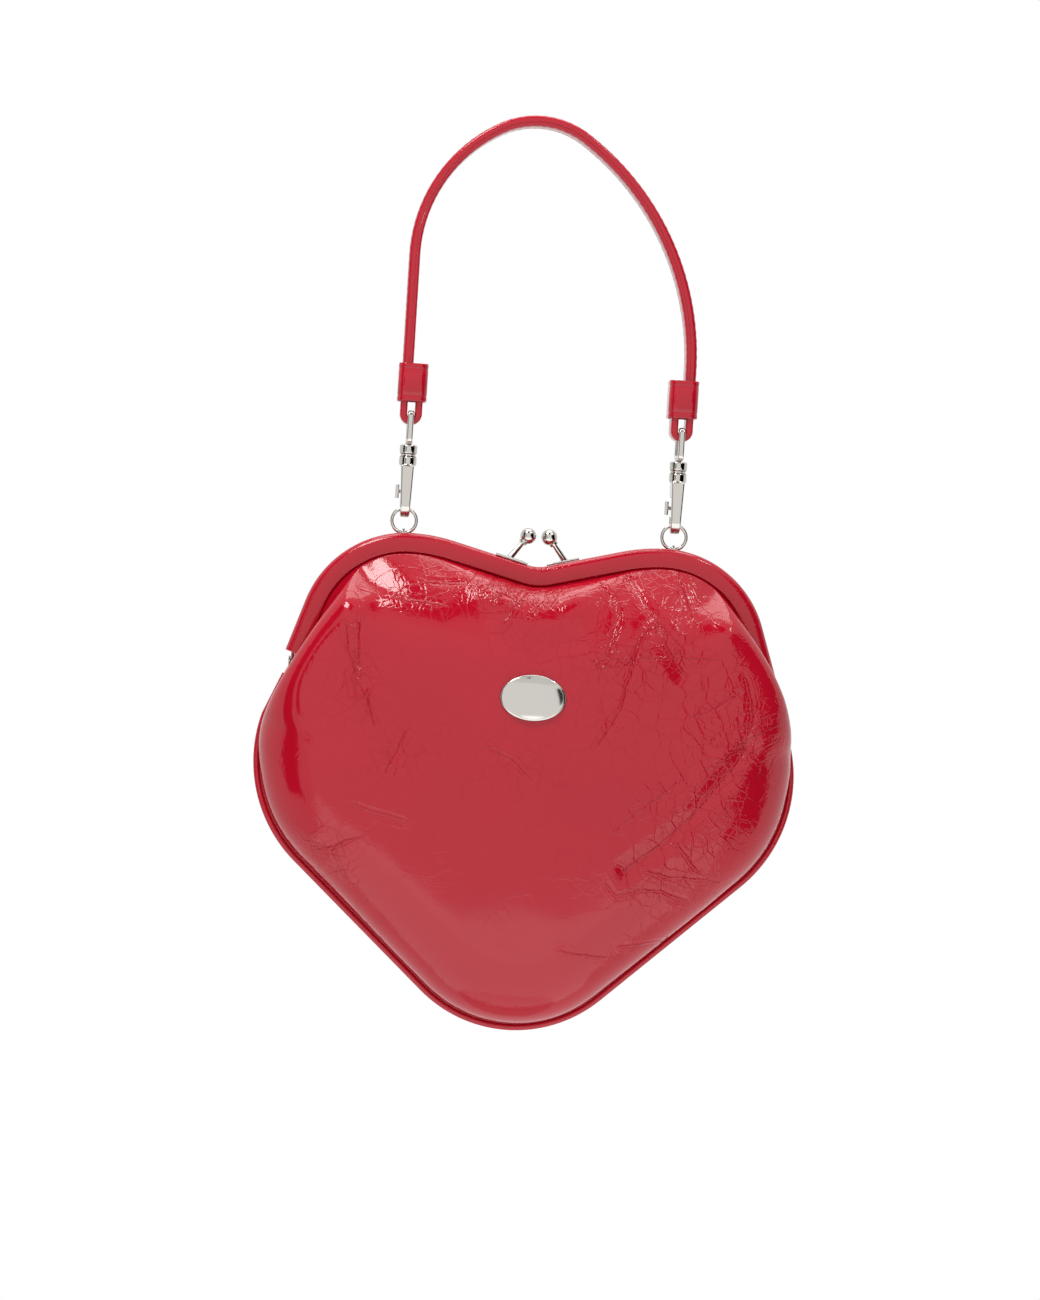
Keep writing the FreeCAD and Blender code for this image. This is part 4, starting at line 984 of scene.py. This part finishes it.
def band_profile(inner, outer, half, edge, crown):
    """A flat band with rounded outer edges, sewn down beside them and fuller in the middle."""
    low = corner_arc(outer - edge, edge - half, edge, -90, 0, 5)
    high = corner_arc(outer - edge, half - edge, edge, 0, 90, 5)
    sewn = [(outer - SEWN_DIP, -half + SEWN_INSET), (outer + crown, -half / 2), (outer + crown, 0.0),
            (outer + crown, half / 2), (outer - SEWN_DIP, half - SEWN_INSET)]
    return low + sewn + high + [(inner, half), (inner, -half)]


strap_leather = patent_leather("smooth_strap_leather", RED, DEEP_RED, 0.04)
outer_edge = STRAP_THICKNESS / 2
inner_edge = outer_edge - STRAP_OUTER
keeper_mid = (keeper_low.z + keeper_high.z) / 2
half_width = STRAP_WIDTH / 2
strap_profile = band_profile(inner_edge, outer_edge, half_width, STRAP_EDGE, STRAP_CROWN)
backing_half = half_width - BACKING_NARROWER
backing = band_profile(GLUE - inner_edge, outer_edge, backing_half, BACKING_EDGE, BACKING_CROWN)
lining_profile = [(-out, -depth) for out, depth in backing]
for name, profile, node in (("strap_outer", strap_profile, "handle_strap"),
                            ("strap_lining", lining_profile, "handle_lining")):
    end_z = keeper_mid if node == "handle_strap" else keeper_high.z + BACKING_CLEAR
    piece = closed_up(carried(name, profile, strap_path(end_z), 0.0), False)
    piece.data.materials.append(strap_leather)
    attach(piece, "handle")
    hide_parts(node)
fold_turn = FOLD_INNER + FOLD_THICKNESS / 2
fold_drop = keeper_high.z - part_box("right_swivel_eye")[1].z / MM + EYE_BAR / 2
fold_profile = rounded_box(FOLD_THICKNESS / 2, half_width, FOLD_EDGE, 4, -90)
for side, sign in (("left", -1), ("right", 1)):
    path = (sign * keeper_x + fold_turn, keeper_high.z - FOLD_TOP, -90,
            [(fold_drop - FOLD_TOP, 0), bend(fold_turn, -180), (fold_drop - FOLD_TOP, 0)])
    piece = closed_up(carried(side + "_strap_fold", fold_profile, path, 0.0), False)
    piece.data.materials.append(strap_leather)
    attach(piece, "handle")

# Stitches of waxed red thread, 3 mm apart, along both edges of the strap on both faces. They hold
# the strap's two leathers together and lie half sunk in them.
STITCH_PITCH = 3.0
STITCH_LENGTH = 2.1
STITCH_RADIUS = 0.3
STITCH_INSET = 1.4
STITCH_SINK = 0.2
STITCH_BODY = 0.6
STITCH_TIP = 0.2
STITCH_TAPER = 0.4

start_clean()
bpy.ops.mesh.primitive_cylinder_add(vertices=6, radius=STITCH_RADIUS * MM,
                                    depth=STITCH_LENGTH * STITCH_BODY * MM)
stitch = bpy.context.object
bpy.ops.object.mode_set(mode="EDIT")
for end in (-1, 1):
    bpy.ops.mesh.select_all(action="DESELECT")
    edit_done()
    for polygon in stitch.data.polygons:
        polygon.select = polygon.normal.z * end > 0.9
    bpy.ops.object.mode_set(mode="EDIT")
    bpy.ops.mesh.select_mode(type="FACE")
    reach = (0, 0, end * STITCH_LENGTH * STITCH_TIP * MM)
    bpy.ops.mesh.extrude_region_move(TRANSFORM_OT_translate={"value": reach})
    bpy.ops.transform.resize(value=(STITCH_TAPER, STITCH_TAPER, 1))
edit_done()
bpy.ops.object.shade_smooth()
stitched_path = strap_path(keeper_high.z)
stitched_length = path_length(stitched_path) - STITCH_PITCH / 2
copies = []
for out in (outer_edge - STITCH_SINK, -outer_edge + STITCH_SINK):
    for depth in (STITCH_INSET - half_width, half_width - STITCH_INSET):
        for distance in np.arange(STITCH_PITCH, stitched_length, STITCH_PITCH):
            x, z, heading = place_on(stitched_path, distance)
            turn = math.radians(heading)
            copy = bpy.data.objects.new("stitch", stitch.data.copy())
            bpy.context.scene.collection.objects.link(copy)
            copy.location = Vector((x - out * math.sin(turn), depth, z + out * math.cos(turn))) * MM
            copy.rotation_euler = (0, math.pi / 2 - turn, 0)
            copies.append(copy)
start_clean()
for copy in copies:
    copy.select_set(True)
stitch.select_set(False)
bpy.context.view_layer.objects.active = copies[0]
bpy.ops.object.join()
stitches = bpy.context.object
stitches.name = "strap_stitches"
bpy.ops.object.transform_apply(location=True, rotation=True, scale=True)
bpy.data.objects.remove(stitch)
stitches.data.materials.append(fibrous("waxed_red_thread", "#B8283A", "#8E1222", 0.5, 2.0, 0.5))
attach(stitches, "handle")

# Studio: a softbox high on the left, a smaller one on the right, a strip overhead, weak fills in front
# and below, and white surroundings. Black cards give the shiny film its dark strips, and the purse
# hangs far above a pale floor.
VIEW_HEIGHT = 474.5
VIEW_X = -4.3
VIEW_Z = -189.0
VIEW_DISTANCE = 1500.0
VIEW_AZIMUTH = -3.0
VIEW_ELEVATION = 1.0
VIEW_ROLL = 3.55
FLOOR_Z = -1250.0
FLOOR_RADIUS = 420.0
SENSOR = 36.0
ROOM_LIGHT = 0.42

target = Vector((VIEW_X, 0, VIEW_Z)) * MM
azimuth = math.radians(VIEW_AZIMUTH)
elevation = math.radians(VIEW_ELEVATION)
away = Vector((math.sin(azimuth) * math.cos(elevation), -math.cos(azimuth) * math.cos(elevation),
               math.sin(elevation)))
start_clean()
bpy.ops.object.camera_add(location=target + away * VIEW_DISTANCE * MM)
camera = bpy.context.object
camera.rotation_mode = "QUATERNION"
camera.rotation_quaternion = ((-away).to_track_quat("-Z", "Y")
                              @ Quaternion((0, 0, 1), math.radians(VIEW_ROLL)))
camera.data.sensor_fit = "VERTICAL"
camera.data.sensor_height = SENSOR
camera.data.lens = SENSOR * VIEW_DISTANCE / VIEW_HEIGHT
bpy.context.scene.camera = camera

start_clean()
bpy.ops.mesh.primitive_circle_add(vertices=96, radius=FLOOR_RADIUS * MM, fill_type="NGON",
                                  location=(0, 0, FLOOR_Z * MM))
floor = bpy.context.object
floor.name = "pale_floor"
floor_paint, tree, shader = new_material("pale_floor_paint")
connect(tree, shader, {"Base Color": linear("#F2F1EF"), "Roughness": 0.9})
floor.data.materials.append(floor_paint)


def softbox(name, place, size, watts):
    """A lamp that faces the purse."""
    bpy.ops.object.light_add(type="AREA", location=Vector(place) * MM)
    lamp = bpy.context.object
    lamp.name = name
    lamp.data.shape = "RECTANGLE"
    lamp.data.size, lamp.data.size_y = (s * MM for s in size)
    lamp.data.energy = watts
    lamp.rotation_mode = "QUATERNION"
    lamp.rotation_quaternion = (target - lamp.location).to_track_quat("-Z", "Y")


def flag(name, place, size):
    """A black card that only reflections see."""
    bpy.ops.mesh.primitive_plane_add(size=1, location=Vector(place) * MM)
    card = bpy.context.object
    card.name = name
    card.scale = (size[0] * MM, size[1] * MM, 1)
    card.rotation_mode = "QUATERNION"
    card.rotation_quaternion = (target - card.location).to_track_quat("Z", "Y")
    card.visible_camera = card.visible_diffuse = card.visible_shadow = False
    card.data.materials.append(black_cloth)


black_cloth, tree, shader = new_material("black_cloth")
connect(tree, shader, {"Base Color": linear("#0A0A0A"), "Roughness": 1.0, "Specular IOR Level": 0.0})
softbox("left_softbox", (-360, -370, 600), (300, 260), 4.0)
softbox("right_softbox", (420, -340, 560), (110, 110), 0.6)
softbox("front_fill", (-100, -1500, -100), (2000, 2000), 2.4)
softbox("low_fill", (0, -480, -950), (1600, 1300), 5.6)
softbox("top_strip", (0, 160, 900), (900, 560), 5.4)
flag("left_flag", (-816, -380, 0), (420, 1300))
flag("right_flag", (800, -440, -80), (680, 1100))
flag("left_inner_flag", (-520, -720, -60), (150, 420))
flag("right_inner_flag", (500, -700, 20), (260, 440))
flag("top_flag", (-300, -480, 760), (900, 420))

world = bpy.data.worlds.new("white_studio")
bpy.context.scene.world = world
world.use_nodes = True
sky = world.node_tree
rays = add(sky, "ShaderNodeLightPath", {}, {}).outputs
seen = combined(sky, "MAXIMUM", rays["Is Camera Ray"], rays["Is Glossy Ray"])
seen = combined(sky, "MAXIMUM", seen, rays["Is Transmission Ray"])
strength = mapped(sky, seen, {"To Min": ROOM_LIGHT, "To Max": 1.0})
connect(sky, sky.nodes["Background"], {"Strength": strength, "Color": (1.0, 1.0, 1.0, 1.0)})
bpy.context.scene.view_settings.view_transform = "Standard"
